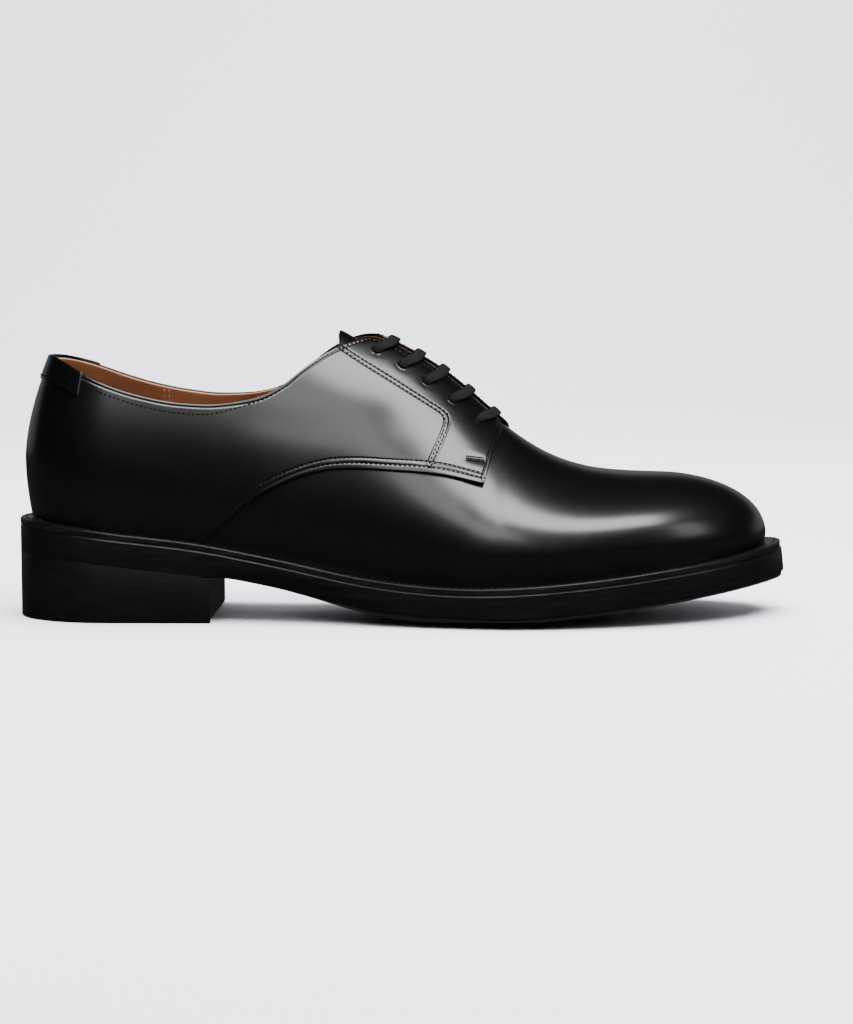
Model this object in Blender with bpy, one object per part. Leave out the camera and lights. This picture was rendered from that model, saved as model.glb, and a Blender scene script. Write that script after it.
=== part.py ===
"""Derby shoe, right foot, on its sole. +X points to the toe, +Y to the inner side, +Z up.

All tables and sizes are in millimetres. X is counted from the sole's back edge, and every point
is moved back by ORIGIN_X at the end, so that the origin is the middle of the heel's flat bottom.
"""
import math

import bmesh
import bpy
import numpy as np

MM = 0.001
MERGE = 0.01 * MM
ORIGIN_X = 39.0
OUTER, INNER = -1, 1  # the two sides of a right shoe, as signs of Y

# Plan of the sole and of the last: half widths from the shoe's long axis.
# The ends beyond the heel and the ball are superellipses, from these columns' rows there.
PLAN_COLUMNS = ("x", "sole_outer", "sole_inner", "last_outer", "last_inner")
PLAN = (
    (40.0, 33.0, 32.6, 28.2, 28.0),
    (78.0, 33.8, 31.8, 29.2, 27.6),
    (115.0, 37.4, 28.0, 31.8, 26.6),
    (150.0, 45.2, 33.0, 38.2, 29.8),
    (175.0, 50.6, 40.6, 44.2, 35.6),
    (195.0, 53.0, 46.4, 47.0, 40.8),
    (215.0, 52.0, 49.6, 46.2, 44.0),
    (235.0, 48.0, 46.4, 42.0, 41.0),
)
HEEL_X = 40.0
TOE_TURN_X = 215.0
BALL_RANGE = (185.0, 230.0)  # the widest place of each outline is looked for in here
TOE_POWER = {OUTER: 1.88, INNER: 2.05}
HEEL_POWER = 2.15
TIP_Y = 9.0
SOLE_BACK, SOLE_TIP = 0.0, 306.0
LAST_BACK, LAST_TIP = 5.2, 298.6

# Heights along the shoe, and how full each cross-section of the last is.
# rise and crown are the pulls of a cubic curve at the bulge and at the ridge.
LAST_COLUMNS = (
    "x", "bulge", "rise", "crown_outer", "crown_inner", "ridge_y", "tuck_outer", "tuck_inner",
)
LAST = (
    (5.2, 64.0, 0.30, 0.35, 0.35, 0.0, 2.6, 2.6),
    (40.0, 58.0, 0.32, 0.36, 0.37, 0.0, 2.2, 2.4),
    (78.0, 52.0, 0.34, 0.37, 0.40, 0.0, 1.8, 3.2),
    (115.0, 43.0, 0.34, 0.44, 0.50, 0.0, 1.6, 4.0),
    (140.0, 36.0, 0.34, 0.52, 0.60, 0.3, 1.5, 3.8),
    (160.0, 31.5, 0.35, 0.38, 0.50, 1.0, 1.4, 3.0),
    (177.0, 30.0, 0.37, 0.30, 0.40, 2.0, 1.2, 2.2),
    (195.0, 29.0, 0.40, 0.34, 0.39, 3.4, 1.2, 1.6),
    (220.0, 29.5, 0.48, 0.46, 0.47, 5.4, 1.2, 1.4),
    (250.0, 31.0, 0.56, 0.56, 0.56, 7.5, 1.0, 1.2),
    (275.0, 32.0, 0.58, 0.56, 0.56, 8.5, 0.8, 1.0),
    (298.6, 32.5, 0.56, 0.54, 0.54, 9.0, 0.6, 0.6),
)
RIDGE_COLUMNS = ("x", "z")
RIDGE = (
    (40.0, 137.0), (80.0, 133.0), (100.0, 127.0), (118.0, 119.0), (131.0, 113.6), (139.0, 111.0),
    (150.0, 106.3), (164.0, 98.4), (173.0, 92.0), (183.0, 83.4), (192.0, 75.6), (198.0, 71.0),
    (209.0, 64.0), (223.0, 58.4), (238.0, 55.8), (256.0, 54.9),
)
HEEL_FAN, HEEL_FAN_REACH = 60.0, 20.0
TOE_FAN, TOE_FAN_REACH = 215.0, 40.0

WELT_COLUMNS = ("x", "z")
WELT_TOP = (
    (0.0, 39.4), (21.0, 37.5), (44.0, 34.7), (75.0, 30.9), (95.0, 27.2), (114.0, 23.4), (131.0, 19.9),
    (148.0, 17.5), (170.0, 15.9), (191.0, 16.1), (210.0, 17.3), (228.0, 18.9), (250.0, 21.3),
    (271.0, 23.8), (288.0, 26.0), (306.0, 29.0),
)
WELT_THICK = 2.6
WELT_ARRIS = 0.4
WELT_UNDER = 1.0  # how far the welt reaches in under the upper's foot line
GROOVE = 0.8
SEAT = 0.3  # gap between solids that rest on each other

# Outsole: lower end of its upright side, rim of the underside, width of the bevel, and tread height.
SOLE_COLUMNS = ("x", "edge", "rim", "bevel", "tread")
SOLE = (
    (0.0, 26.8, 26.6, 0.3, 26.6), (21.0, 24.9, 24.7, 0.3, 24.7), (44.0, 22.0, 21.8, 0.3, 21.8),
    (60.0, 20.2, 20.0, 0.3, 20.0), (71.0, 18.9, 18.7, 0.3, 18.7), (77.0, 18.2, 18.0, 0.6, 18.0),
    (84.0, 20.6, 17.2, 5.0, 16.8), (96.0, 20.8, 15.0, 6.0, 14.2),
    (106.0, 19.9, 13.0, 6.0, 11.8), (115.0, 18.0, 10.8, 5.5, 9.2), (125.0, 15.0, 8.8, 4.5, 6.4),
    (135.0, 11.4, 7.0, 3.2, 3.8), (145.0, 7.8, 5.4, 1.8, 1.8), (155.0, 6.0, 4.7, 1.0, 0.5),
    (163.0, 5.3, 4.3, 0.8, 0.0), (191.0, 4.5, 3.6, 0.8, 0.0), (202.0, 4.9, 4.0, 0.8, 0.0),
    (215.0, 5.9, 5.0, 0.8, 0.9), (230.0, 7.4, 6.5, 0.8, 2.5), (250.0, 9.7, 8.8, 0.8, 5.0),
    (275.0, 12.8, 11.9, 0.8, 8.6), (306.0, 17.0, 16.1, 0.8, 14.0),
)
TREAD_PART = 0.58  # part of the half width that is flat across
SHOULDER_PART = 0.84
SHOULDER_DROP = 0.3
FLARE, FLARE_FROM_X = 1.6, 255.0  # lean of the sole's side at the toe, at its lower end
FLARE_TOP = 0.4  # part of that lean at the side's upper end

BREAST_X = 78.6
BREAST_HOLLOW = 2.2
HEEL_HOLLOW_POWER = 4  # how late the breast's hollow starts
HEEL_TAPER = 0.5
HEEL_ARRIS = 0.5

INSOLE_INSET = 1.5
INSOLE_PROUD = 1.0  # the insole's top over the welt's top

# Upper. Offsets are from the last, outwards. The quarters lie over the vamp as a step.
VAMP_IN, VAMP_OUT = -0.5, 1.6
QUARTER_IN, QUARTER_OUT = 0.3, 2.9
TAB_IN, TAB_OUT = 1.6, 3.5
VAMP_FOOT_GAP = 0.3
QUARTER_FOOT_GAP = 0.5
COLLAR_COLUMNS = ("x", "outer_z", "inner_z")
COLLAR = (
    (5.0, 102.2, 102.2), (8.0, 102.1, 102.1), (12.0, 101.2, 101.5), (22.0, 97.4, 99.4),
    (39.0, 91.2, 94.4), (51.0, 87.9, 91.2), (66.0, 85.2, 88.3), (78.0, 84.5, 87.0), (89.0, 85.4, 87.1),
    (97.0, 87.0, 88.2), (111.0, 94.2, 93.8), (125.0, 103.2, 102.0),
)
COLLAR_TURN_X = 108.0  # from here the collar closes in on the ridge up to the facing's top
COLLAR_TURN_POWER = 0.8
FACING_TOP_X = 139.0
FACING_EDGE = {OUTER: 7.0, INNER: 1.0}  # from the ridge, across: the throat lies to the outer side of it
THROAT_X = 184.5
THROAT_LEAN = 8.5  # the facing's front edge leans forward by this at its top
THROAT_CORNER, THROAT_ROUND = 0.7, 4.0  # where the front edge starts to turn back, and how far
THROAT_ROUND_POWER = 6  # how close to the front edge the round stays
SKEW = 4.0  # the inner side's throat stands this much nearer to the toe
SKEW_FROM_X, SKEW_TO_X = 95.0, 139.0
SKEW_FADE = 30.0  # length over which the vamp's stations lose the skew before its throat
SEAM_COLUMNS = ("x", "z")
SEAM = (
    (76.4, 31.6), (84.0, 39.4), (93.0, 46.9), (105.5, 53.8), (114.0, 57.0), (126.0, 59.6),
    (139.0, 59.7), (151.0, 58.9), (171.0, 56.7), (184.5, 53.4), (194.0, 52.0),
)
SEAM_FOOT_X = 76.4
LAP = 9.0  # the vamp runs on under the quarters by about this
LAP_START_X, VAMP_THROAT_X = 74.0, 190.5
LAP_RISE_POWER = 4  # how late the lap climbs to the ridge
TAB_HALF, TAB_DEEP, TAB_PROUD = 25.0, 9.4, 0.5
TAB_ROUND = 15.0  # radius of the heel's back, in plan

EYELET_X = (142.2, 152.2, 161.6, 171.6, 181.8)
EYELET_IN = 4.8  # the top eyelet, from the facing's edge, across
EYELET_DRIFT = 0.12  # the others stand further from it, by this part of their way to the toe
EYELET_HOLE = 2.2
PUNCH_IN, PUNCH_OUT = -1.5, 5.0
PUNCH_SIDES = 10

TONGUE_COLUMNS = ("x", "half", "drop")
TONGUE = (
    (128.5, 9.0, 1.0), (131.5, 16.0, 1.2), (137.0, 21.0, 2.6), (144.0, 22.5, 3.3), (158.0, 23.0, 3.3),
    (172.0, 22.0, 3.3), (182.0, 21.0, 3.3), (187.0, 20.0, 3.2), (193.0, 19.0, 1.2), (203.0, 17.0, 1.1),
)
TONGUE_THICK = 2.0

LACE_R = 1.1
LACE_OVER = 4.4  # a bar's centre over the last, on the facings
LACE_UNDER = -1.15  # a hidden run's centre
LACE_END_R = 18.0
LACE_END_BACK = 3.0  # the strand's first end stands behind the top eyelet by this
LACE_TURN_BACK = 2.5  # and turns this far behind the lowest one
LACE_IN_HOLE = (0.6, 2.4, 3.8)  # its centre's heights over the last on the way through a hole
LACE_LEAN = 2.0  # it leans this far towards the ridge over the hole's rim
LACE_SWING = 4.5  # a bar's middle stands this much nearer to the toe than its ends
LACE_STEP = 2.4


def clear_scene():
    for item in list(bpy.data.objects):
        bpy.data.objects.remove(item, do_unlink=True)
    for mesh in list(bpy.data.meshes):
        bpy.data.meshes.remove(mesh)


def column(names, rows, name):
    place = names.index(name)
    return np.array([row[place] for row in rows], float)


def spline(xs, ys):
    """A natural cubic through the rows, for shapes that must run smoothly."""
    count = len(xs)
    step = np.diff(xs)
    slope = np.diff(ys) / step
    matrix = np.eye(count)
    right = np.zeros(count)
    for i in range(1, count - 1):
        matrix[i, i - 1] = step[i - 1]
        matrix[i, i] = 2 * (step[i - 1] + step[i])
        matrix[i, i + 1] = step[i]
        right[i] = 6 * (slope[i] - slope[i - 1])
    bend = np.linalg.solve(matrix, right)

    def at(x):
        x = min(max(x, xs[0]), xs[-1])
        i = min(max(int(np.searchsorted(xs, x)) - 1, 0), count - 2)
        a = (xs[i + 1] - x) / step[i]
        b = 1 - a
        curl = ((a ** 3 - a) * bend[i] + (b ** 3 - b) * bend[i + 1]) * step[i] ** 2 / 6
        return float(a * ys[i] + b * ys[i + 1] + curl)

    return at


def monotone(xs, ys):
    """A cubic that never overshoots its rows, so that flat stretches stay flat."""
    step = np.diff(xs)
    slope = np.diff(ys) / step
    lean = np.zeros(len(xs))
    lean[0], lean[-1] = slope[0], slope[-1]
    for i in range(1, len(xs) - 1):
        if slope[i - 1] * slope[i] > 0:
            before = 2 * step[i] + step[i - 1]
            after = step[i] + 2 * step[i - 1]
            lean[i] = (before + after) / (before / slope[i - 1] + after / slope[i])

    def at(x):
        x = min(max(x, xs[0]), xs[-1])
        i = min(max(int(np.searchsorted(xs, x)) - 1, 0), len(xs) - 2)
        t = (x - xs[i]) / step[i]
        start = (1 + 2 * t) * (1 - t) ** 2 * ys[i] + t * t * (3 - 2 * t) * ys[i + 1]
        turn = t * (1 - t) ** 2 * lean[i] - t * t * (1 - t) * lean[i + 1]
        return float(start + turn * step[i])

    return at


def table(names, rows, kind):
    xs = column(names, rows, "x")
    return {name: kind(xs, column(names, rows, name)) for name in names if name != "x"}


plan = table(PLAN_COLUMNS, PLAN, spline)
last = table(LAST_COLUMNS, LAST, spline)
ridge_height = table(RIDGE_COLUMNS, RIDGE, spline)["z"]
welt_top = table(WELT_COLUMNS, WELT_TOP, spline)["z"]
sole = table(SOLE_COLUMNS, SOLE, monotone)
collar = table(COLLAR_COLUMNS, COLLAR, monotone)
seam_height = table(SEAM_COLUMNS, SEAM, spline)["z"]
tongue = table(TONGUE_COLUMNS, TONGUE, monotone)


def side_name(side):
    return "outer" if side == OUTER else "inner"


ball_x = {
    name: max(np.linspace(*BALL_RANGE, 181), key=plan[name]) for name in PLAN_COLUMNS if name != "x"
}


def plan_y(form, side, x, back, tip):
    """Y of the sole's or the last's outline at x."""
    half = plan[form + "_" + side_name(side)]
    ball = ball_x[form + "_" + side_name(side)]
    if x < HEEL_X:
        t = min((HEEL_X - x) / (HEEL_X - back), 1.0)
        return side * half(HEEL_X) * (1 - t ** HEEL_POWER) ** (1 / HEEL_POWER)
    if x > ball:
        t = min((x - ball) / (tip - ball), 1.0)
        power = TOE_POWER[side]
        return TIP_Y + (side * half(ball) - TIP_Y) * (1 - t ** power) ** (1 / power)
    return side * half(x)


def spaced(back, tip, heel_steps, body_steps, toe_steps):
    """Stations from back to tip, close together where the outline turns."""
    start = TOE_TURN_X
    turn = np.linspace(0, math.pi / 2, heel_steps, endpoint=False)
    xs = [back + (HEEL_X - back) * (1 - math.cos(a)) for a in turn]
    body = np.linspace(HEEL_X, start, body_steps, endpoint=False)
    body[np.argmin(abs(body - BREAST_X))] = BREAST_X
    xs += list(body)
    xs += [start + (tip - start) * math.sin(a) for a in np.linspace(0, math.pi / 2, toe_steps)]
    return xs


def fan(x):
    """X at the ridge of the section whose foot stands at x: the sections fan out at both ends."""
    if x > TOE_FAN:
        t = min((x - TOE_FAN) / (LAST_TIP - TOE_FAN), 1.0)
        return TOE_FAN + TOE_FAN_REACH * (1 - (1 - t) ** ((LAST_TIP - TOE_FAN) / TOE_FAN_REACH))
    if x < HEEL_FAN:
        run = HEEL_FAN - LAST_BACK
        t = min((HEEL_FAN - x) / run, 1.0)
        return HEEL_FAN - HEEL_FAN_REACH * (1 - (1 - t) ** (run / HEEL_FAN_REACH))
    return x


def section(side, x):
    """The last's section whose foot stands at x, from the foot line over to the ridge."""
    ridge_x = fan(x)
    foot = np.array([x, plan_y("last", side, x, LAST_BACK, LAST_TIP)])
    ridge = np.array([ridge_x, last["ridge_y"](ridge_x)])
    reach = float(np.linalg.norm(foot - ridge))
    return {
        "side": side, "ridge": ridge, "way": (foot - ridge) / reach, "reach": reach,
        "foot_z": welt_top(x), "bulge": last["bulge"](x), "top": ridge_height(ridge_x),
        "rise": last["rise"](x), "crown": last["crown_" + side_name(side)](x),
        "tuck": last["tuck_" + side_name(side)](x),
    }


def girth(cut, g):
    """Distance from the ridge and height at g: -1 foot line, 0 bulge, 1 ridge."""
    if g <= 0:
        return cut["reach"] - cut["tuck"] * g * g, cut["bulge"] + (cut["bulge"] - cut["foot_z"]) * g
    h = 1 - g
    r = cut["reach"] * (h ** 3 + 3 * h * h * g + 3 * h * g * g * cut["crown"])
    up = 3 * h * h * g * cut["rise"] + 3 * h * g * g + g ** 3
    return r, cut["bulge"] + (cut["top"] - cut["bulge"]) * up


def girth_where(cut, place, value):
    """The g at which girth()'s item number place has this value."""
    low, high = -1.0, 1.0
    if place == 0:
        low = 0.0
    for _ in range(40):
        middle = (low + high) / 2
        here = girth(cut, middle)[place]
        below = here > value if place == 0 else here < value
        if below:
            low = middle
        else:
            high = middle
    return (low + high) / 2


def on_last(cut, g, inset=0.0):
    r, z = girth(cut, g)
    flat = cut["ridge"] + cut["way"] * (r - inset)
    return np.array([flat[0], flat[1], z])


def lifted(side, x, g, offset):
    """A point at a distance from the last's surface, along its normal."""
    small = 0.5
    cut = section(side, x)
    here = on_last(cut, g)
    along = on_last(section(side, x + small), g) - on_last(section(side, x - small), g)
    across = on_last(cut, g + 0.01) - on_last(cut, g - 0.01)
    normal = np.cross(along, across) * -side
    normal /= np.linalg.norm(normal)
    return here + normal * offset, normal


def skewed(side, x):
    if side == OUTER:
        return x
    t = min(max((x - SKEW_FROM_X) / (SKEW_TO_X - SKEW_FROM_X), 0), 1)
    return x + SKEW * t * t * (3 - 2 * t)


def material(name, colour, roughness):
    made = bpy.data.materials.new(name)
    made.use_nodes = True
    shader = made.node_tree.nodes["Principled BSDF"]
    shader.inputs["Base Color"].default_value = (*colour, 1)
    shader.inputs["Roughness"].default_value = roughness
    shader.inputs["Metallic"].default_value = 0.0
    return made


def mesh_object(name, points, faces, finish, merge=True):
    """A mesh object from points in millimetres, moved to the shoe's own origin."""
    mesh = bpy.data.meshes.new(name)
    moved = [((p[0] - ORIGIN_X) * MM, p[1] * MM, p[2] * MM) for p in points]
    mesh.from_pydata(moved, [], faces)
    body = bpy.data.objects.new(name, mesh)
    bpy.context.collection.objects.link(body)
    if finish is not None:
        mesh.materials.append(finish)
    if merge:
        work = bmesh.new()
        work.from_mesh(mesh)
        bmesh.ops.remove_doubles(work, verts=work.verts, dist=MERGE)
        bmesh.ops.dissolve_degenerate(work, dist=MERGE, edges=work.edges)
        work.to_mesh(mesh)
        work.free()
    return body


def face_out(body):
    """Turns a closed mesh's faces outwards."""
    work = bmesh.new()
    work.from_mesh(body.data)
    bmesh.ops.recalc_face_normals(work, faces=work.faces)
    if work.calc_volume(signed=True) < 0:
        bmesh.ops.reverse_faces(work, faces=work.faces)
    work.to_mesh(body.data)
    work.free()


def loft(name, rings, finish):
    """A closed body through rings of equal length, with flat ends where they don't close."""
    count = len(rings[0])
    points = [p for ring in rings for p in ring]
    faces = []
    for k in range(len(rings) - 1):
        for i in range(count):
            j = (i + 1) % count
            faces.append((k * count + i, k * count + j, (k + 1) * count + j, (k + 1) * count + i))
    faces.append(tuple(range(count - 1, -1, -1)))
    faces.append(tuple((len(rings) - 1) * count + i for i in range(count)))
    body = mesh_object(name, points, faces, finish)
    face_out(body)
    return body


def sheet(name, grid, finish):
    """An open sheet from rows of points."""
    wide = len(grid[0])
    points = [p for row in grid for p in row]
    faces = []
    for k in range(len(grid) - 1):
        for i in range(wide - 1):
            a = k * wide + i
            faces.append((a, a + 1, a + wide + 1, a + wide))
    return mesh_object(name, points, faces, finish)


def thicken(body, low, high):
    """A wall from offset low to offset high, in millimetres along the sheet's normals."""
    wall = body.modifiers.new("wall", "SOLIDIFY")
    wall.thickness = (high - low) * MM
    wall.offset = (high + low) / (high - low)
    wall.use_even_offset = True
    return wall


def as_guide(body):
    body.hide_render = True
    body.display_type = "WIRE"


def boolean(body, guide, operation):
    as_guide(guide)
    cut = body.modifiers.new(operation.lower(), "BOOLEAN")
    cut.operation = operation
    cut.object = guide
    cut.solver = "EXACT"


def outline(form, back, tip, steps):
    """The closed plan outline: outer side from back to tip, then inner side back again."""
    xs = spaced(back, tip, *steps)
    outer = [(x, plan_y(form, OUTER, x, back, tip)) for x in xs]
    inner = [(x, plan_y(form, INNER, x, back, tip)) for x in xs]
    return np.array(outer + inner[-2:0:-1])


def inset(loop, amounts):
    """The outline moved inwards along its normals."""
    ahead = np.roll(loop, -1, axis=0) - np.roll(loop, 1, axis=0)
    ahead /= np.linalg.norm(ahead, axis=1)[:, None]
    inward = np.stack([-ahead[:, 1], ahead[:, 0]], axis=1)
    return loop + inward * np.asarray(amounts)[:, None]


STEPS = (7, 17, 11)  # stations along the heel, the body and the toe of the sole's pieces


def pairs(loop):
    """Outer and inner points of an outline at each station, from the back to the tip."""
    half = len(loop) // 2
    return [(loop[k], loop[-k % len(loop)]) for k in range(half + 1)]


def make_outsole(finish):
    loop = outline("sole", SOLE_BACK, SOLE_TIP, STEPS)
    xs = loop[:, 0]
    flare = FLARE * np.clip((xs - FLARE_FROM_X) / (SOLE_TIP - FLARE_FROM_X), 0, 1) ** 2
    levels = [
        (inset(loop, np.full(len(xs), GROOVE)), lambda x: welt_top(x) - WELT_THICK - SEAT),
        (inset(loop, -flare * FLARE_TOP), lambda x: welt_top(x) - WELT_THICK - SEAT - GROOVE),
        (inset(loop, -flare), sole["edge"]),
        (inset(loop, [sole["bevel"](x) for x in xs] - flare), sole["rim"]),
    ]
    level_pairs = [(pairs(line), height) for line, height in levels]
    rings = []
    for k in range(len(level_pairs[0][0])):
        down = []
        up = []
        for line, height in level_pairs:
            a, b = line[k]
            down.append((a[0], a[1], height(a[0])))
            up.append((b[0], b[1], height(b[0])))
        a, b = np.array(down[-1]), np.array(up[-1])
        middle = (a[:2] + b[:2]) / 2
        rim, tread = sole["rim"](a[0]), sole["tread"](a[0])
        under = []
        for part, drop in ((SHOULDER_PART, SHOULDER_DROP), (TREAD_PART, 1.0)):
            flat = middle + (a[:2] - middle) * part
            under.append((flat[0], flat[1], rim + (tread - rim) * max(drop, 1 - part)))
        far = [(2 * middle[0] - p[0], 2 * middle[1] - p[1], p[2]) for p in under]
        rings.append(down + under + far[::-1] + up[::-1])
    return loft("outsole", rings, finish)


def make_heel(finish):
    xs = [x for x in spaced(SOLE_BACK, SOLE_TIP, *STEPS) if x <= BREAST_X]
    rings = []
    for x in xs:
        outer = plan_y("sole", OUTER, x, SOLE_BACK, SOLE_TIP)
        inner = plan_y("sole", INNER, x, SOLE_BACK, SOLE_TIP)
        top = []
        wall = []
        floor = []
        for part in (0.0, 0.25, 0.5, 0.75, 1.0):
            y = outer + (inner - outer) * part
            hollow = BREAST_HOLLOW * (1 - (2 * part - 1) ** 2) * (x / BREAST_X) ** HEEL_HOLLOW_POWER
            px = x - hollow
            bottom_y = y * (1 - HEEL_TAPER / BREAST_X)
            top.append((px, y, sole["tread"](x) - SEAT))
            floor_y = bottom_y * (1 - HEEL_ARRIS / abs(outer)) if outer else bottom_y
            floor.append((px + HEEL_ARRIS * (1 - 2 * x / BREAST_X), floor_y, 0.0))
            wall.append((px, bottom_y, HEEL_ARRIS))
        rings.append(top + [wall[-1]] + floor[::-1] + [wall[0]])
    return loft("heel", rings, finish)


def foot_point(side, x, inward):
    return on_last(section(side, x), -1.0, inward)


def make_welt(finish):
    loop = outline("sole", SOLE_BACK, SOLE_TIP, STEPS)
    xs = spaced(LAST_BACK, LAST_TIP, *STEPS)
    outer = [foot_point(OUTER, x, WELT_UNDER) for x in xs]
    inner = [foot_point(INNER, x, WELT_UNDER) for x in xs]
    inside = np.array(outer + inner[-2:0:-1])
    arris = inset(loop, np.full(len(loop), WELT_ARRIS))
    points = []
    for edge, soft, under in zip(loop, arris, inside):
        top, low = welt_top(edge[0]), welt_top(edge[0]) - WELT_THICK
        near = welt_top(under[0])
        points += [
            (soft[0], soft[1], top), (edge[0], edge[1], top - WELT_ARRIS), (edge[0], edge[1], low),
            (under[0], under[1], near - WELT_THICK), (under[0], under[1], near),
        ]
    faces = []
    count = len(loop)
    for k in range(count):
        for i in range(5):
            j = (i + 1) % 5
            n = (k + 1) % count
            faces.append((k * 5 + i, k * 5 + j, n * 5 + j, n * 5 + i))
    body = mesh_object("welt", points, faces, finish)
    face_out(body)
    return body


def make_insole(finish):
    xs = spaced(LAST_BACK, LAST_TIP, *STEPS)
    rings = []
    for x in xs:
        a = foot_point(OUTER, x, INSOLE_INSET)
        b = foot_point(INNER, x, INSOLE_INSET)
        rings.append([
            (a[0], a[1], welt_top(a[0]) + INSOLE_PROUD), (b[0], b[1], welt_top(b[0]) + INSOLE_PROUD),
            (b[0], b[1], welt_top(b[0]) - WELT_THICK), (a[0], a[1], welt_top(a[0]) - WELT_THICK),
        ])
    return loft("insole", rings, finish)


def foot_level(cut, gap, out):
    """Height over the foot line at which a wall's outer face stands just clear of the welt."""
    slope = 2 * cut["tuck"] / (cut["bulge"] - cut["foot_z"])
    return gap + out * slope / math.hypot(1, slope)


def collar_girth(cut, side, x):
    """Where the quarter's upper edge crosses this section: collar behind, facing edge in front."""
    edge = FACING_EDGE[side]
    if x >= FACING_TOP_X:
        return girth_where(cut, 0, edge)
    height = collar[side_name(side) + "_z"]
    if x <= COLLAR_TURN_X:
        return girth_where(cut, 1, height(x))
    turn = section(side, skewed(side, COLLAR_TURN_X))
    wide = girth(turn, girth_where(turn, 1, height(COLLAR_TURN_X)))[0]
    t = (FACING_TOP_X - x) / (FACING_TOP_X - COLLAR_TURN_X)
    return girth_where(cut, 0, edge + (wide - edge) * t ** COLLAR_TURN_POWER)


def quarter_point(side, x, q):
    """A point of the quarter: q runs from the welt or the seam up to the collar or the facing edge."""
    t = max((x - FACING_TOP_X) / (THROAT_X - FACING_TOP_X), 0)
    corner = max((q - THROAT_CORNER) / (1 - THROAT_CORNER), 0)
    place = x + THROAT_LEAN * q * t * t - THROAT_ROUND * corner ** 2 * t ** THROAT_ROUND_POWER
    cut = section(side, skewed(side, place))
    foot = cut["foot_z"] + foot_level(cut, QUARTER_FOOT_GAP, QUARTER_OUT)
    if place < SEAM_FOOT_X:
        low = girth_where(cut, 1, foot)
    else:
        low = girth_where(cut, 1, max(seam_height(place), foot))
    return on_last(cut, low + (collar_girth(cut, side, place) - low) * q)


QUARTER_ROWS = 10
QUARTER_X = (
    [48.0, 55.0, 62.0, 69.5, SEAM_FOOT_X, 83.5, 91.0, 98.0, 105.5, 113.0, 120.0, 127.0, 133.0]
    + [FACING_TOP_X, 144.5, 150.0, 156.0, 162.0, 168.0, 174.0, 179.5, THROAT_X]
)


def heel_stations(count):
    turn = np.linspace(0, math.pi / 2, count)
    return [LAST_BACK + (HEEL_X - LAST_BACK) * (1 - math.cos(a)) for a in turn]


def make_quarters(finish):
    xs = heel_stations(7) + QUARTER_X
    levels = np.linspace(0, 1, QUARTER_ROWS)
    grid = [[quarter_point(OUTER, x, q) for q in levels] for x in xs[::-1]]
    grid += [[quarter_point(INNER, x, q) for q in levels] for x in xs[1:]]
    body = sheet("upper", grid, finish)
    thicken(body, QUARTER_IN, QUARTER_OUT)
    return body


VAMP_ROWS = 13
VAMP_X = (
    [LAP_START_X, 80.0, 88.0, 97.0, 107.0, 118.0, 130.0, 142.0, 154.0, 165.0, 175.0, 183.0, 187.5]
    + [VAMP_THROAT_X, 196.0, 202.0, 208.5]
)


def vamp_point(side, x, q):
    """A point of the vamp: q runs from the foot line up to the hidden lap or to the ridge."""
    fade = min(max((VAMP_THROAT_X - x) / SKEW_FADE, 0), 1)
    cut = section(side, x + (skewed(side, x) - x) * fade)
    low = girth_where(cut, 1, cut["foot_z"] + foot_level(cut, VAMP_FOOT_GAP, VAMP_OUT))
    if x >= VAMP_THROAT_X:
        return on_last(cut, low + (1 - low) * q)
    rise = max((x - SKEW_TO_X) / (VAMP_THROAT_X - SKEW_TO_X), 0) ** LAP_RISE_POWER
    lap = seam_height(x) + LAP
    return on_last(cut, low + (girth_where(cut, 1, lap + (cut["top"] - lap) * rise) - low) * q)


def make_vamp(finish):
    toe = [TOE_FAN + (LAST_TIP - TOE_FAN) * math.sin(a) for a in np.linspace(0, math.pi / 2, 11)]
    xs = VAMP_X + toe
    levels = np.linspace(0, 1, VAMP_ROWS)
    grid = [[vamp_point(INNER, x, q) for q in levels] for x in xs]
    grid += [[vamp_point(OUTER, x, q) for q in levels] for x in xs[-2::-1]]
    body = sheet("vamp_form", grid, finish)
    thicken(body, VAMP_IN, VAMP_OUT)
    return body


def make_tab(finish):
    """The back tab: a low overlay along the collar, round the heel."""
    around = np.linspace(0, 1, 6)
    xs = [LAST_BACK + (TAB_HALF * t) ** 2 / (2 * TAB_ROUND) for t in around]
    grid = []
    for side, places in ((OUTER, xs[::-1]), (INNER, xs[1:])):
        for x in places:
            cut = section(side, x)
            top = collar[side_name(side) + "_z"](x) + TAB_PROUD
            levels = [girth_where(cut, 1, top - TAB_DEEP * q) for q in (1.0, 0.5, 0.0)]
            grid.append([on_last(cut, g) for g in levels])
    body = sheet("tab_form", grid, finish)
    thicken(body, TAB_IN, TAB_OUT)
    return body


def eyelet_in(x):
    return EYELET_IN + EYELET_DRIFT * (x - EYELET_X[0])


def eyelet(side, x):
    place = skewed(side, x)
    return place, girth_where(section(side, place), 0, FACING_EDGE[side] + eyelet_in(x))


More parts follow.
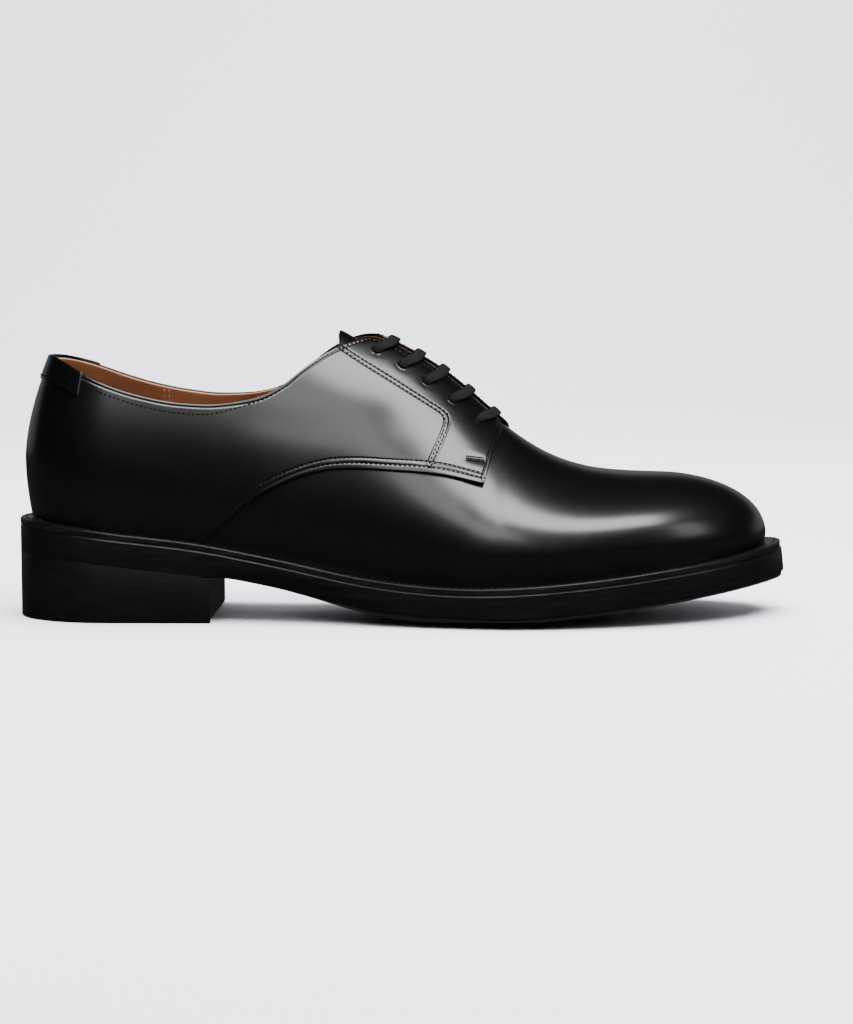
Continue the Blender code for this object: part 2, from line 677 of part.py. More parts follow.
def make_punches():
    """Ten short round cutters, square to the facings."""
    points = []
    faces = []
    for side in (OUTER, INNER):
        for x in EYELET_X:
            place, g = eyelet(side, x)
            low, normal = lifted(side, place, g, PUNCH_IN)
            high, _ = lifted(side, place, g, PUNCH_OUT)
            first = np.cross(normal, (0, 1, 0))
            first /= np.linalg.norm(first)
            second = np.cross(normal, first)
            start = len(points)
            for centre in (low, high):
                for i in range(PUNCH_SIDES):
                    a = 2 * math.pi * i / PUNCH_SIDES
                    points.append(centre + EYELET_HOLE * (first * math.cos(a) + second * math.sin(a)))
            for i in range(PUNCH_SIDES):
                j = (i + 1) % PUNCH_SIDES
                faces.append((start + i, start + j, start + PUNCH_SIDES + j, start + PUNCH_SIDES + i))
            faces.append(tuple(start + i for i in range(PUNCH_SIDES - 1, -1, -1)))
            faces.append(tuple(start + PUNCH_SIDES + i for i in range(PUNCH_SIDES)))
    body = mesh_object("eyelet_punches", points, faces, None, merge=False)
    face_out(body)
    return body


def make_upper(finish):
    body = make_quarters(finish)
    boolean(body, make_vamp(finish), "UNION")
    boolean(body, make_tab(finish), "UNION")
    boolean(body, make_punches(), "DIFFERENCE")
    return body


def make_tongue(finish):
    grid = []
    for x in [row[0] for row in TONGUE]:
        half, drop = tongue["half"](x), tongue["drop"](x)
        row = []
        for part in np.linspace(1, -1, 11):
            side = OUTER if part < 0 else INNER
            cut = section(side, x)
            g = girth_where(cut, 0, max(abs(part) * half, 0.01))
            row.append(lifted(side, x, g, -drop)[0])
        grid.append(row)
    body = sheet("tongue", grid, finish)
    thicken(body, -TONGUE_THICK, 0.0)
    return body


def lace_route():
    """One strand: five bars over the facings, joined by hidden runs under them."""
    def bar(x, start):
        half = []
        for side in (start, -start):
            place, g = eyelet(side, x)
            line = [lifted(side, place, g, offset)[0] for offset in (LACE_UNDER, *LACE_IN_HOLE)]
            inward = eyelet_in(x)
            for step in (LACE_LEAN, (LACE_LEAN + inward) / 2, inward):
                part = step / (FACING_EDGE[OUTER] + FACING_EDGE[INNER] + 2 * inward)
                swing = LACE_SWING * 4 * part * (1 - part)
                across = place + (skewed(-side, x) - place) * part + swing
                near = girth_where(section(side, across), 0, FACING_EDGE[side] + inward - step)
                line.append(lifted(side, across, near, LACE_OVER)[0])
            half.append(line)
        return half[0] + half[1][::-1]

    lowest = EYELET_X[-1]
    points = []
    for x in (EYELET_X[0] - LACE_END_BACK, EYELET_X[1], EYELET_X[2], EYELET_X[3]):
        place = skewed(OUTER, x)
        g = girth_where(section(OUTER, place), 0, LACE_END_R)
        points.append(lifted(OUTER, place, g, LACE_UNDER)[0])
    turn_r = (LACE_END_R + FACING_EDGE[OUTER] + eyelet_in(lowest)) / 2
    g = girth_where(section(OUTER, lowest), 0, turn_r)
    points.append(lifted(OUTER, lowest - LACE_TURN_BACK, g, LACE_UNDER)[0])
    side = OUTER
    for x in EYELET_X[::-1]:
        points += bar(x, side)
        side = -side
    return points


def smoothed(points, step):
    """Points at even steps on a smooth curve through the route's own points."""
    padded = [2 * points[0] - points[1]] + points + [2 * points[-1] - points[-2]]
    fine = []
    for i in range(1, len(padded) - 2):
        a, b, c, d = padded[i - 1:i + 3]
        for t in np.linspace(0, 1, 12, endpoint=False):
            fine.append(0.5 * (2 * b + (c - a) * t + (2 * a - 5 * b + 4 * c - d) * t * t
                               + (3 * b - a - 3 * c + d) * t ** 3))
    fine.append(points[-1])
    length = np.concatenate([[0], np.cumsum(np.linalg.norm(np.diff(fine, axis=0), axis=1))])
    count = int(length[-1] / step)
    even = np.linspace(0, length[-1], count)
    return np.stack([np.interp(even, length, np.array(fine)[:, axis]) for axis in range(3)], axis=1)


def make_lace(finish):
    route = smoothed(lace_route(), LACE_STEP)
    data = bpy.data.curves.new("lace", "CURVE")
    data.dimensions = "3D"
    line = data.splines.new("POLY")
    line.points.add(len(route) - 1)
    for point, place in zip(line.points, route):
        point.co = ((place[0] - ORIGIN_X) * MM, place[1] * MM, place[2] * MM, 1)
    data.bevel_depth = LACE_R * MM
    data.bevel_resolution = 2
    data.use_fill_caps = True
    body = bpy.data.objects.new("lace", data)
    bpy.context.collection.objects.link(body)
    data.materials.append(finish)
    return body


clear_scene()
calf = material("black_calf", (0.012, 0.012, 0.014), 0.22)
sole_black = material("black_sole", (0.014, 0.013, 0.013), 0.45)
cord_black = material("black_lace", (0.016, 0.016, 0.018), 0.75)
tan = material("tan_leather", (0.42, 0.20, 0.09), 0.55)
make_outsole(sole_black)
make_heel(sole_black)
make_welt(sole_black)
make_insole(tan)
make_upper(calf)
make_tongue(calf)
make_lace(cord_black)
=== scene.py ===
import math
from functools import lru_cache

import bmesh
import bpy
import numpy as np
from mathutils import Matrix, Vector
from mathutils.kdtree import KDTree


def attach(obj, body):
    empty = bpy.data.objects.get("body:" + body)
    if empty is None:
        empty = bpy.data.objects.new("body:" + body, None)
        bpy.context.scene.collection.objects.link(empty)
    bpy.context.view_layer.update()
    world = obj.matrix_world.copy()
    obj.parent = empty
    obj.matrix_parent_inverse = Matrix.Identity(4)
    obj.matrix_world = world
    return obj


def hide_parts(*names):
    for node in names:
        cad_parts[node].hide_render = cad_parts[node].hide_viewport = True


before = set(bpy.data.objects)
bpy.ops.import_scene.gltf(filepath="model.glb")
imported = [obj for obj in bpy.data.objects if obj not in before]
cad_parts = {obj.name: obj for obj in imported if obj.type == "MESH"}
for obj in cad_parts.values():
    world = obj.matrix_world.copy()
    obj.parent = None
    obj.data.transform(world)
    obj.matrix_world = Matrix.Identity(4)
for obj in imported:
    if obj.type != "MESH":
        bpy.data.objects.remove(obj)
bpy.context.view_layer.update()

mm = 0.001
heelShift = 39.0          # tables count x in mm from the sole's back, the frame from the heel's middle
outer, inner = -1, 1      # the two sides, as signs of y


# The camera comes first, so that every piece is judged in the photograph's view.
cameraPlace = {"x": 0.1236, "y": -0.900, "z": 0.126, "pitch": 5.43, "lens": 79.1}


def newObject(name, data):
    made = bpy.data.objects.new(name, data)
    bpy.context.collection.objects.link(made)
    return made


def makeCamera():
    data = bpy.data.cameras.new("photoCamera")
    data.lens = cameraPlace["lens"]
    data.sensor_width = 36.0
    data.sensor_fit = "AUTO"
    camera = newObject("photoCamera", data)
    camera.location = (cameraPlace["x"], cameraPlace["y"], cameraPlace["z"])
    camera.rotation_euler = (math.radians(90 - cameraPlace["pitch"]), 0, 0)
    bpy.context.scene.camera = camera


makeCamera()

# The last and the sole, in mm: half widths, heights and the fullness of each section.
planColumns = ("x", "soleOuter", "soleInner", "lastOuter", "lastInner")
planRows = (
    (40.0, 33.0, 32.6, 28.2, 28.0), (78.0, 33.8, 31.8, 29.2, 27.6), (115.0, 37.4, 28.0, 31.8, 26.6),
    (150.0, 45.2, 33.0, 38.2, 29.8), (175.0, 50.6, 40.6, 44.2, 35.6), (195.0, 53.0, 46.4, 47.0, 40.8),
    (215.0, 52.0, 49.6, 46.2, 44.0), (235.0, 48.0, 46.4, 42.0, 41.0),
)
lastColumns = ("x", "bulge", "rise", "crownOuter", "crownInner", "ridgeY", "tuckOuter", "tuckInner")
lastRows = (
    (5.2, 64.0, 0.30, 0.35, 0.35, 0.0, 2.6, 2.6), (40.0, 58.0, 0.32, 0.36, 0.37, 0.0, 2.2, 2.4),
    (78.0, 52.0, 0.34, 0.37, 0.40, 0.0, 1.8, 3.2), (115.0, 43.0, 0.34, 0.44, 0.50, 0.0, 1.6, 4.0),
    (140.0, 36.0, 0.34, 0.52, 0.60, 0.3, 1.5, 3.8), (160.0, 31.5, 0.35, 0.38, 0.50, 1.0, 1.4, 3.0),
    (177.0, 30.0, 0.37, 0.30, 0.40, 2.0, 1.2, 2.2), (195.0, 29.0, 0.40, 0.34, 0.39, 3.4, 1.2, 1.6),
    (220.0, 29.5, 0.48, 0.46, 0.47, 5.4, 1.2, 1.4), (250.0, 31.0, 0.56, 0.56, 0.56, 7.5, 1.0, 1.2),
    (275.0, 32.0, 0.58, 0.56, 0.56, 8.5, 0.8, 1.0), (298.6, 32.5, 0.56, 0.54, 0.54, 9.0, 0.6, 0.6),
)
ridgeRows = (
    (40.0, 137.0), (80.0, 133.0), (100.0, 127.0), (118.0, 119.0), (131.0, 113.6), (139.0, 111.0),
    (150.0, 106.3), (164.0, 98.4), (173.0, 92.0), (183.0, 83.4), (192.0, 75.6), (198.0, 71.0),
    (209.0, 64.0), (223.0, 58.4), (238.0, 55.8), (256.0, 54.9),
)
weltRows = (
    (0.0, 39.4), (21.0, 37.5), (44.0, 34.7), (75.0, 30.9), (95.0, 27.2), (114.0, 23.4), (131.0, 19.9),
    (148.0, 17.5), (170.0, 15.9), (191.0, 16.1), (210.0, 17.3), (228.0, 18.9), (250.0, 21.3),
    (271.0, 23.8), (288.0, 26.0), (306.0, 29.0),
)
soleColumns = ("x", "edge", "rim", "bevel", "tread")
soleRows = (
    (0.0, 26.8, 26.6, 0.3, 26.6), (21.0, 24.9, 24.7, 0.3, 24.7), (44.0, 22.0, 21.8, 0.3, 21.8),
    (60.0, 20.2, 20.0, 0.3, 20.0), (71.0, 18.9, 18.7, 0.3, 18.7), (77.0, 18.2, 18.0, 0.6, 18.0),
    (84.0, 20.6, 17.2, 5.0, 16.8), (96.0, 20.8, 15.0, 6.0, 14.2), (106.0, 19.9, 13.0, 6.0, 11.8),
    (115.0, 18.0, 10.8, 5.5, 9.2), (125.0, 15.0, 8.8, 4.5, 6.4), (135.0, 11.4, 7.0, 3.2, 3.8),
    (145.0, 7.8, 5.4, 1.8, 1.8), (155.0, 6.0, 4.7, 1.0, 0.5), (163.0, 5.3, 4.3, 0.8, 0.0),
    (191.0, 4.5, 3.6, 0.8, 0.0), (202.0, 4.9, 4.0, 0.8, 0.0), (215.0, 5.9, 5.0, 0.8, 0.9),
    (230.0, 7.4, 6.5, 0.8, 2.5), (250.0, 9.7, 8.8, 0.8, 5.0), (275.0, 12.8, 11.9, 0.8, 8.6),
    (306.0, 17.0, 16.1, 0.8, 14.0),
)
collarColumns = ("x", "Outer", "Inner")
collarRows = (
    (5.0, 102.2, 102.2), (8.0, 102.1, 102.1), (12.0, 101.2, 101.5), (22.0, 97.4, 99.4),
    (39.0, 91.2, 94.4), (51.0, 87.9, 91.2), (66.0, 85.2, 88.3), (78.0, 84.5, 87.0), (89.0, 85.4, 87.1),
    (97.0, 87.0, 88.2), (111.0, 94.2, 93.8), (125.0, 103.2, 102.0),
)
seamRows = (
    (76.4, 31.6), (84.0, 39.4), (93.0, 46.9), (105.5, 53.8), (114.0, 57.0), (126.0, 59.6),
    (139.0, 59.7), (151.0, 58.9), (171.0, 56.7), (184.5, 53.4), (194.0, 52.0),
)
tongueColumns = ("x", "half", "drop")
tongueRows = (
    (128.5, 9.0, 1.0), (131.5, 16.0, 1.2), (137.0, 21.0, 2.6), (144.0, 22.5, 3.3), (158.0, 23.0, 3.3),
    (172.0, 22.0, 3.3), (182.0, 21.0, 3.3), (187.0, 20.0, 3.2), (193.0, 19.0, 1.2), (203.0, 17.0, 1.1),
)
form = {
    "heelX": 40.0, "toeTurnX": 215.0, "ballFrom": 185.0, "ballTo": 230.0, "toePowerOuter": 1.88,
    "toePowerInner": 2.05, "heelPower": 2.15, "tipY": 9.0, "soleBack": 0.0, "soleTip": 306.0,
    "lastBack": 5.2, "lastTip": 298.6, "heelFan": 60.0, "heelFanReach": 20.0, "toeFan": 215.0,
    "toeFanReach": 40.0, "skew": 4.0, "skewFrom": 95.0, "skewTo": 139.0, "breastX": 78.6,
}


# Natural cubic spline through one column of a table.
def spline(rows, place):
    xs = np.array([row[0] for row in rows])
    ys = np.array([row[place] for row in rows])
    count = len(xs)
    step = np.diff(xs)
    slope = np.diff(ys) / step
    matrix = np.eye(count)
    right = np.zeros(count)
    for i in range(1, count - 1):
        matrix[i, i - 1:i + 2] = step[i - 1], 2 * (step[i - 1] + step[i]), step[i]
        right[i] = 6 * (slope[i] - slope[i - 1])
    bend = np.linalg.solve(matrix, right)

    def at(x):
        x = min(max(x, xs[0]), xs[-1])
        i = min(max(int(np.searchsorted(xs, x)) - 1, 0), count - 2)
        a = (xs[i + 1] - x) / step[i]
        b = 1 - a
        curl = ((a ** 3 - a) * bend[i] + (b ** 3 - b) * bend[i + 1]) * step[i] ** 2 / 6
        return float(a * ys[i] + b * ys[i + 1] + curl)

    return at


# Curve through one column of a table that doesn't overshoot between its rows.
def monotone(rows, place):
    xs = np.array([row[0] for row in rows])
    ys = np.array([row[place] for row in rows])
    step = np.diff(xs)
    slope = np.diff(ys) / step
    lean = np.zeros(len(xs))
    lean[0], lean[-1] = slope[0], slope[-1]
    for i in range(1, len(xs) - 1):
        if slope[i - 1] * slope[i] > 0:
            before = 2 * step[i] + step[i - 1]
            after = step[i] + 2 * step[i - 1]
            lean[i] = (before + after) / (before / slope[i - 1] + after / slope[i])

    def at(x):
        x = min(max(x, xs[0]), xs[-1])
        i = min(max(int(np.searchsorted(xs, x)) - 1, 0), len(xs) - 2)
        t = (x - xs[i]) / step[i]
        start = (1 + 2 * t) * (1 - t) ** 2 * ys[i] + t * t * (3 - 2 * t) * ys[i + 1]
        turn = t * (1 - t) ** 2 * lean[i] - t * t * (1 - t) * lean[i + 1]
        return float(start + turn * step[i])

    return at


def columnsOf(names, rows, kind):
    return {name: kind(rows, place) for place, name in enumerate(names) if name != "x"}


plan = columnsOf(planColumns, planRows, spline)
last = columnsOf(lastColumns, lastRows, spline)
ridgeHeight = spline(ridgeRows, 1)
weltTop = spline(weltRows, 1)
soleAt = columnsOf(soleColumns, soleRows, monotone)
collarAt = columnsOf(collarColumns, collarRows, monotone)
seamHeight = spline(seamRows, 1)
tongueAt = columnsOf(tongueColumns, tongueRows, monotone)
ballX = {
    name: max(np.linspace(form["ballFrom"], form["ballTo"], 181), key=plan[name]) for name in plan
}


def sideName(side):
    return "Outer" if side == outer else "Inner"


# y of an outline at x: table values in the body, superellipse arcs round the heel and the toe.
def planY(what, side, x, back, tip):
    half = plan[what + sideName(side)]
    ball = ballX[what + sideName(side)]
    if x < form["heelX"]:
        t = min((form["heelX"] - x) / (form["heelX"] - back), 1.0)
        return side * half(form["heelX"]) * (1 - t ** form["heelPower"]) ** (1 / form["heelPower"])
    if x > ball:
        t = min((x - ball) / (tip - ball), 1.0)
        power = form["toePower" + sideName(side)]
        return form["tipY"] + (side * half(ball) - form["tipY"]) * (1 - t ** power) ** (1 / power)
    return side * half(x)


def spaced(back, tip, heelSteps, bodySteps, toeSteps):
    start = form["toeTurnX"]
    turn = np.linspace(0, math.pi / 2, heelSteps, endpoint=False)
    xs = [back + (form["heelX"] - back) * (1 - math.cos(a)) for a in turn]
    body = np.linspace(form["heelX"], start, bodySteps, endpoint=False)
    body[np.argmin(abs(body - form["breastX"]))] = form["breastX"]
    xs += list(body)
    xs += [start + (tip - start) * math.sin(a) for a in np.linspace(0, math.pi / 2, toeSteps)]
    return xs


# Where the section of x meets the ridge: sections fan out at the heel and at the toe.
def fan(x):
    if x > form["toeFan"]:
        run = form["lastTip"] - form["toeFan"]
        t = min((x - form["toeFan"]) / run, 1.0)
        return form["toeFan"] + form["toeFanReach"] * (1 - (1 - t) ** (run / form["toeFanReach"]))
    if x < form["heelFan"]:
        run = form["heelFan"] - form["lastBack"]
        t = min((form["heelFan"] - x) / run, 1.0)
        return form["heelFan"] - form["heelFanReach"] * (1 - (1 - t) ** (run / form["heelFanReach"]))
    return x


@lru_cache(maxsize=None)
def section(side, x):
    ridgeX = fan(x)
    foot = np.array([x, planY("last", side, x, form["lastBack"], form["lastTip"])])
    ridge = np.array([ridgeX, last["ridgeY"](ridgeX)])
    reach = float(np.linalg.norm(foot - ridge))
    return {
        "ridge": ridge, "way": (foot - ridge) / reach, "reach": reach, "footZ": weltTop(x),
        "bulge": last["bulge"](x), "top": ridgeHeight(ridgeX), "rise": last["rise"](x),
        "crown": last["crown" + sideName(side)](x), "tuck": last["tuck" + sideName(side)](x),
    }


# Distance from the ridge and height at g: -1 foot line, 0 bulge, 1 ridge.
def girth(cut, g):
    if g <= 0:
        return cut["reach"] - cut["tuck"] * g * g, cut["bulge"] + (cut["bulge"] - cut["footZ"]) * g
    h = 1 - g
    r = cut["reach"] * (h ** 3 + 3 * h * h * g + 3 * h * g * g * cut["crown"])
    up = 3 * h * h * g * cut["rise"] + 3 * h * g * g + g ** 3
    return r, cut["bulge"] + (cut["top"] - cut["bulge"]) * up


# The g at which a section has this distance from the ridge (place 0) or this height (place 1).
def girthWhere(cut, place, value):
    low, high = (0.0 if place == 0 else -1.0), 1.0
    for _ in range(26):
        middle = (low + high) / 2
        here = girth(cut, middle)[place]
        if (here > value) if place == 0 else (here < value):
            low = middle
        else:
            high = middle
    return (low + high) / 2


def onLast(cut, g, inset=0.0):
    r, z = girth(cut, g)
    flat = cut["ridge"] + cut["way"] * (r - inset)
    return np.array([flat[0], flat[1], z])


# A point off the last along its normal, the normal, and the way towards the toe.
def lifted(side, x, g, offset):
    along = onLast(section(side, x + 0.5), g) - onLast(section(side, x - 0.5), g)
    cut = section(side, x)
    across = onLast(cut, g + 0.01) - onLast(cut, g - 0.01)
    normal = np.cross(along, across) * -side
    normal /= np.linalg.norm(normal)
    return onLast(cut, g) + normal * offset, normal, along / np.linalg.norm(along)


# The inner side's facing lies a little further towards the toe.
def skewed(side, x):
    if side == outer:
        return x
    t = min(max((x - form["skewFrom"]) / (form["skewTo"] - form["skewFrom"]), 0), 1)
    return x + form["skew"] * t * t * (3 - 2 * t)


# Mesh helpers. Every point is in mm until it goes into a mesh.
def toFrame(p):
    return ((p[0] - heelShift) * mm, p[1] * mm, p[2] * mm)


def meshPiece(name, points, faces, merge=True):
    mesh = bpy.data.meshes.new(name)
    mesh.from_pydata([toFrame(p) for p in points], [], faces)
    piece = newObject(name, mesh)
    if merge:
        work = bmesh.new()
        work.from_mesh(mesh)
        bmesh.ops.remove_doubles(work, verts=work.verts, dist=0.00001)
        bmesh.ops.dissolve_degenerate(work, dist=0.00001, edges=work.edges)
        work.to_mesh(mesh)
        work.free()
    return piece


def turnOut(piece):
    work = bmesh.new()
    work.from_mesh(piece.data)
    bmesh.ops.recalc_face_normals(work, faces=work.faces)
    if work.calc_volume(signed=True) < 0:
        bmesh.ops.reverse_faces(work, faces=work.faces)
    work.to_mesh(piece.data)
    work.free()


def sheet(name, grid):
    wide = len(grid[0])
    faces = []
    for k in range(len(grid) - 1):
        for i in range(wide - 1):
            a = k * wide + i
            faces.append((a, a + 1, a + wide + 1, a + wide))
    return meshPiece(name, [p for row in grid for p in row], faces)


# Sides and two end caps of a tube of rings, whose first point has the number start.
def tubeFaces(count, rings, start=0):
    faces = []
    for k in range(rings - 1):
        low, high = start + k * count, start + (k + 1) * count
        for i in range(count):
            j = (i + 1) % count
            faces.append((low + i, low + j, high + j, high + i))
    faces.append(tuple(range(start + count - 1, start - 1, -1)))
    faces.append(tuple(start + (rings - 1) * count + i for i in range(count)))
    return faces


def loft(name, rings, merge=True):
    points = [p for ring in rings for p in ring]
    piece = meshPiece(name, points, tubeFaces(len(rings[0]), len(rings)), merge)
    turnOut(piece)
    return piece


# Turns live modifiers into a plain mesh, shaded smooth but for its sharp edges.
def settle(piece, sharp=50):
    graph = bpy.context.evaluated_depsgraph_get()
    mesh = bpy.data.meshes.new_from_object(
        piece.evaluated_get(graph), preserve_all_data_layers=True, depsgraph=graph
    )
    piece.modifiers.clear()
    old = piece.data
    piece.data = mesh
    bpy.data.meshes.remove(old)
    mesh.name = piece.name
    mesh.shade_smooth()
    mesh.set_sharp_from_angle(angle=math.radians(sharp))


# A leather panel: the grid's sheet gets a wall from low to high, rounded by subdivision.
def panel(name, grid, low, high, finishes, levels=2, holes=None):
    piece = sheet(name, grid)
    for finish in finishes:
        piece.data.materials.append(finish)
    wall = piece.modifiers.new("wall", "SOLIDIFY")
    wall.thickness = (high - low) * mm
    wall.offset = (high + low) / (high - low)
    wall.use_even_offset = True
    wall.material_offset_rim = len(finishes) - 1
    smooth = piece.modifiers.new("smooth", "SUBSURF")
    smooth.levels = levels
    smooth.render_levels = levels
    if holes is not None:
        cut = piece.modifiers.new("holes", "BOOLEAN")
        cut.operation = "DIFFERENCE"
        cut.object = holes
        cut.solver = "MANIFOLD"
    settle(piece)
    return piece


def softEdges(piece, width):
    bevel = piece.modifiers.new("softEdges", "BEVEL")
    bevel.width = width * mm
    bevel.segments = 2
    bevel.limit_method = "ANGLE"
    bevel.angle_limit = math.radians(30)
    settle(piece)


# Pushes a mesh in along soft troughs, which follow lines of points.
def press(piece, lines, depth, width):
    tree = lineTree(lines, width * 0.3)
    reach = 2.6 * width * mm
    mesh = piece.data
    moves = []
    for vertex in mesh.vertices:
        distance = tree.find(vertex.co)[2]
        if distance < reach:
            fall = math.exp(-(distance / (width * mm)) ** 2)
            moves.append((vertex, vertex.normal * (-depth * mm * fall)))
    for vertex, move in moves:
        vertex.co += move
    mesh.update()


def dense(line, step):
    line = np.array(line, float)
    length = np.concatenate([[0], np.cumsum(np.linalg.norm(np.diff(line, axis=0), axis=1))])
    count = max(int(length[-1] / step) + 1, 2)
    even = np.linspace(0, length[-1], count)
    return np.stack([np.interp(even, length, line[:, axis]) for axis in range(line.shape[1])], axis=1)


def lineTree(lines, step):
    spots = [Vector(toFrame(p)) for line in lines for p in dense(line, step)]
    tree = KDTree(len(spots))
    for i, spot in enumerate(spots):
        tree.insert(spot, i)
    tree.balance()
    return tree


def finished(piece, node):
    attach(piece, "root")
    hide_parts(node)


# Materials. Object coordinates are metres, so a scale of 1000 is one cell a millimetre.
def newMaterial(name, colour, roughness, **sockets):
    made = bpy.data.materials.new(name)
    made.use_nodes = True
    shader = made.node_tree.nodes["Principled BSDF"]
    shader.inputs["Base Color"].default_value = (*colour, 1)
    shader.inputs["Roughness"].default_value = roughness
    for socket, value in sockets.items():
        shader.inputs[socket.replace("_", " ")].default_value = value
    return made, made.node_tree, shader


# A node with its settings. Each input gets a plain value or another node's output.
def newNode(tree, kind, inputs, **settings):
    node = tree.nodes.new(kind)
    for name, value in settings.items():
        setattr(node, name, value)
    for name, value in inputs.items():
        if isinstance(value, bpy.types.NodeSocket):
            tree.links.new(value, node.inputs[name])
        else:
            node.inputs[name].default_value = value
    return node


def place(tree, stretch=(1, 1, 1)):
    coords = newNode(tree, "ShaderNodeTexCoord", {})
    mapping = newNode(tree, "ShaderNodeMapping", {"Scale": stretch, "Vector": coords.outputs["Object"]})
    return mapping.outputs["Vector"]


def noise(tree, vector, scale, detail=3.0, roughness=0.5):
    inputs = {"Vector": vector, "Scale": scale, "Detail": detail, "Roughness": roughness}
    return newNode(tree, "ShaderNodeTexNoise", inputs).outputs["Fac"]


def cells(tree, vector, scale):
    return newNode(tree, "ShaderNodeTexVoronoi", {"Vector": vector, "Scale": scale}).outputs["Distance"]


def remap(tree, value, low, high, fromLow=0.3, fromHigh=0.7):
    inputs = {"Value": value, "From Min": fromLow, "From Max": fromHigh, "To Min": low, "To Max": high}
    return newNode(tree, "ShaderNodeMapRange", inputs).outputs["Result"]


def mixColour(tree, factor, first, second):
    inputs = {0: factor, 6: (*first, 1), 7: (*second, 1)}
    return newNode(tree, "ShaderNodeMix", inputs, data_type="RGBA").outputs[2]


# Bumps in a chain: each layer is a height and its depth in mm.
def bump(tree, shader, layers):
    before = None
    for height, depth in layers:
        inputs = {"Strength": 1.0, "Distance": depth * mm, "Height": height}
        if before is not None:
            inputs["Normal"] = before
        before = newNode(tree, "ShaderNodeBump", inputs).outputs["Normal"]
    tree.links.new(before, shader.inputs["Normal"])
    tree.links.new(before, shader.inputs["Coat Normal"])


calf = {"black": (0.0008, 0.0008, 0.0009), "worn": (0.0018, 0.0018, 0.002), "gloss": (0.275, 0.295),
        "coat": 0.25, "grain": 1700, "grainDepth": 0.003, "pebble": 600, "pebbleDepth": 0.003,
        "grooveDepth": 0.13, "grooveHalf": 0.7}


# A groove so many mm away from a line, from the distance that the mesh stores.
def seamGroove(tree, name, away):
    value = newNode(tree, "ShaderNodeAttribute", {}, attribute_name=name)
    less = newNode(tree, "ShaderNodeMath", {0: value.outputs["Fac"], 1: away}, operation="SUBTRACT")
    size = newNode(tree, "ShaderNodeMath", {0: less.outputs[0]}, operation="ABSOLUTE")
    inputs = {"From Max": calf["grooveHalf"], "Value": size.outputs[0]}
    rise = newNode(tree, "ShaderNodeMapRange", inputs, interpolation_type="SMOOTHSTEP")
    return rise.outputs["Result"]


def calfLeather(name, seams=()):
    made, tree, shader = newMaterial(
        name, calf["black"], 0.3, Coat_Weight=calf["coat"], Coat_Roughness=0.16
    )
    vector = place(tree)
    cloud = noise(tree, vector, 45, 4)
    tree.links.new(mixColour(tree, cloud, calf["black"], calf["worn"]), shader.inputs["Base Color"])
    tree.links.new(remap(tree, noise(tree, vector, 260, 4), *calf["gloss"]), shader.inputs["Roughness"])
    bump(tree, shader, [(seamGroove(tree, seam, away), calf["grooveDepth"]) for seam, away in seams] + [
        (noise(tree, vector, calf["pebble"], 3), calf["pebbleDepth"]),
        (noise(tree, vector, calf["grain"], 2), calf["grainDepth"]),
    ])
    return made


tan = {"cloud": 60, "wear": 300, "swing": 0.08, "pores": 700, "poreDepth": 0.05, "cells": 1900,
       "cellDepth": 0.03}


def tanLeather(name, light, dark, roughness):
    made, tree, shader = newMaterial(name, light, roughness)
    vector = place(tree)
    cloud = remap(tree, noise(tree, vector, tan["cloud"], 5), 0, 1)
    tree.links.new(mixColour(tree, cloud, light, dark), shader.inputs["Base Color"])
    wear = noise(tree, vector, tan["wear"], 3)
    rough = remap(tree, wear, roughness - tan["swing"], roughness + tan["swing"])
    tree.links.new(rough, shader.inputs["Roughness"])
    bump(tree, shader, [
        (noise(tree, vector, tan["pores"], 4), tan["poreDepth"]),
        (cells(tree, vector, tan["cells"]), tan["cellDepth"]),
    ])
    return made


ink = {"lines": 60, "lineDepth": 0.09, "paler": 2.4, "smoother": 0.06, "rougher": 0.14, "grit": 900,
       "gritDepth": 0.02}


# Sanded and inked leather layers: fine level lines, with a satin wax over them.
def edgePaint(name, colour, gloss, stretch):
    made, tree, shader = newMaterial(
        name, colour, gloss, Specular_IOR_Level=0.22, Coat_Weight=0.1, Coat_Roughness=0.25
    )
    vector = place(tree, stretch)
    lines = noise(tree, vector, ink["lines"], 6, 0.65)
    paler = tuple(part * ink["paler"] for part in colour)
    shade = mixColour(tree, remap(tree, lines, 0, 1, 0.45, 0.75), colour, paler)
    tree.links.new(shade, shader.inputs["Base Color"])
    rough = remap(tree, lines, gloss - ink["smoother"], gloss + ink["rougher"])
    tree.links.new(rough, shader.inputs["Roughness"])
    grit = noise(tree, place(tree), ink["grit"], 3)
    bump(tree, shader, [(lines, ink["lineDepth"]), (grit, ink["gritDepth"])])
    return made


# The braid's low colour is painted shade in the weave's troughs, and its high colour a painted highlight on
# the crests.
cotton = {"colour": (0.004, 0.004, 0.0045), "low": (0.0015, 0.0015, 0.0017),
          "high": (0.006, 0.006, 0.0066), "turn": 0.78, "wave": 2.2, "depth": 0.14}


# Flat braided cotton, from the ribbon's own map: u across, v along in widths.
def braid():
    made, tree, shader = newMaterial("blackBraid", cotton["colour"], 0.75, Specular_IOR_Level=0.16)
    coords = newNode(tree, "ShaderNodeUVMap", {}, uv_map="ribbon")
    heights = []
    for turn in (cotton["turn"], -cotton["turn"]):
        inputs = {"Rotation": (0, 0, turn), "Vector": coords.outputs["UV"]}
        mapping = newNode(tree, "ShaderNodeMapping", inputs)
        inputs = {"Scale": cotton["wave"], "Vector": mapping.outputs["Vector"]}
        wave = newNode(tree, "ShaderNodeTexWave", inputs)
        heights.append(wave.outputs["Fac"])
    both = newNode(tree, "ShaderNodeMath", {0: heights[0], 1: heights[1]}, operation="MAXIMUM")
    # Painted shade and highlight: darker colour in the weave's troughs, lighter on its crests.
    shade = mixColour(tree, both.outputs[0], cotton["low"], cotton["high"])
    tree.links.new(shade, shader.inputs["Base Color"])
    bump(tree, shader, [(both.outputs[0], cotton["depth"])])
    return made


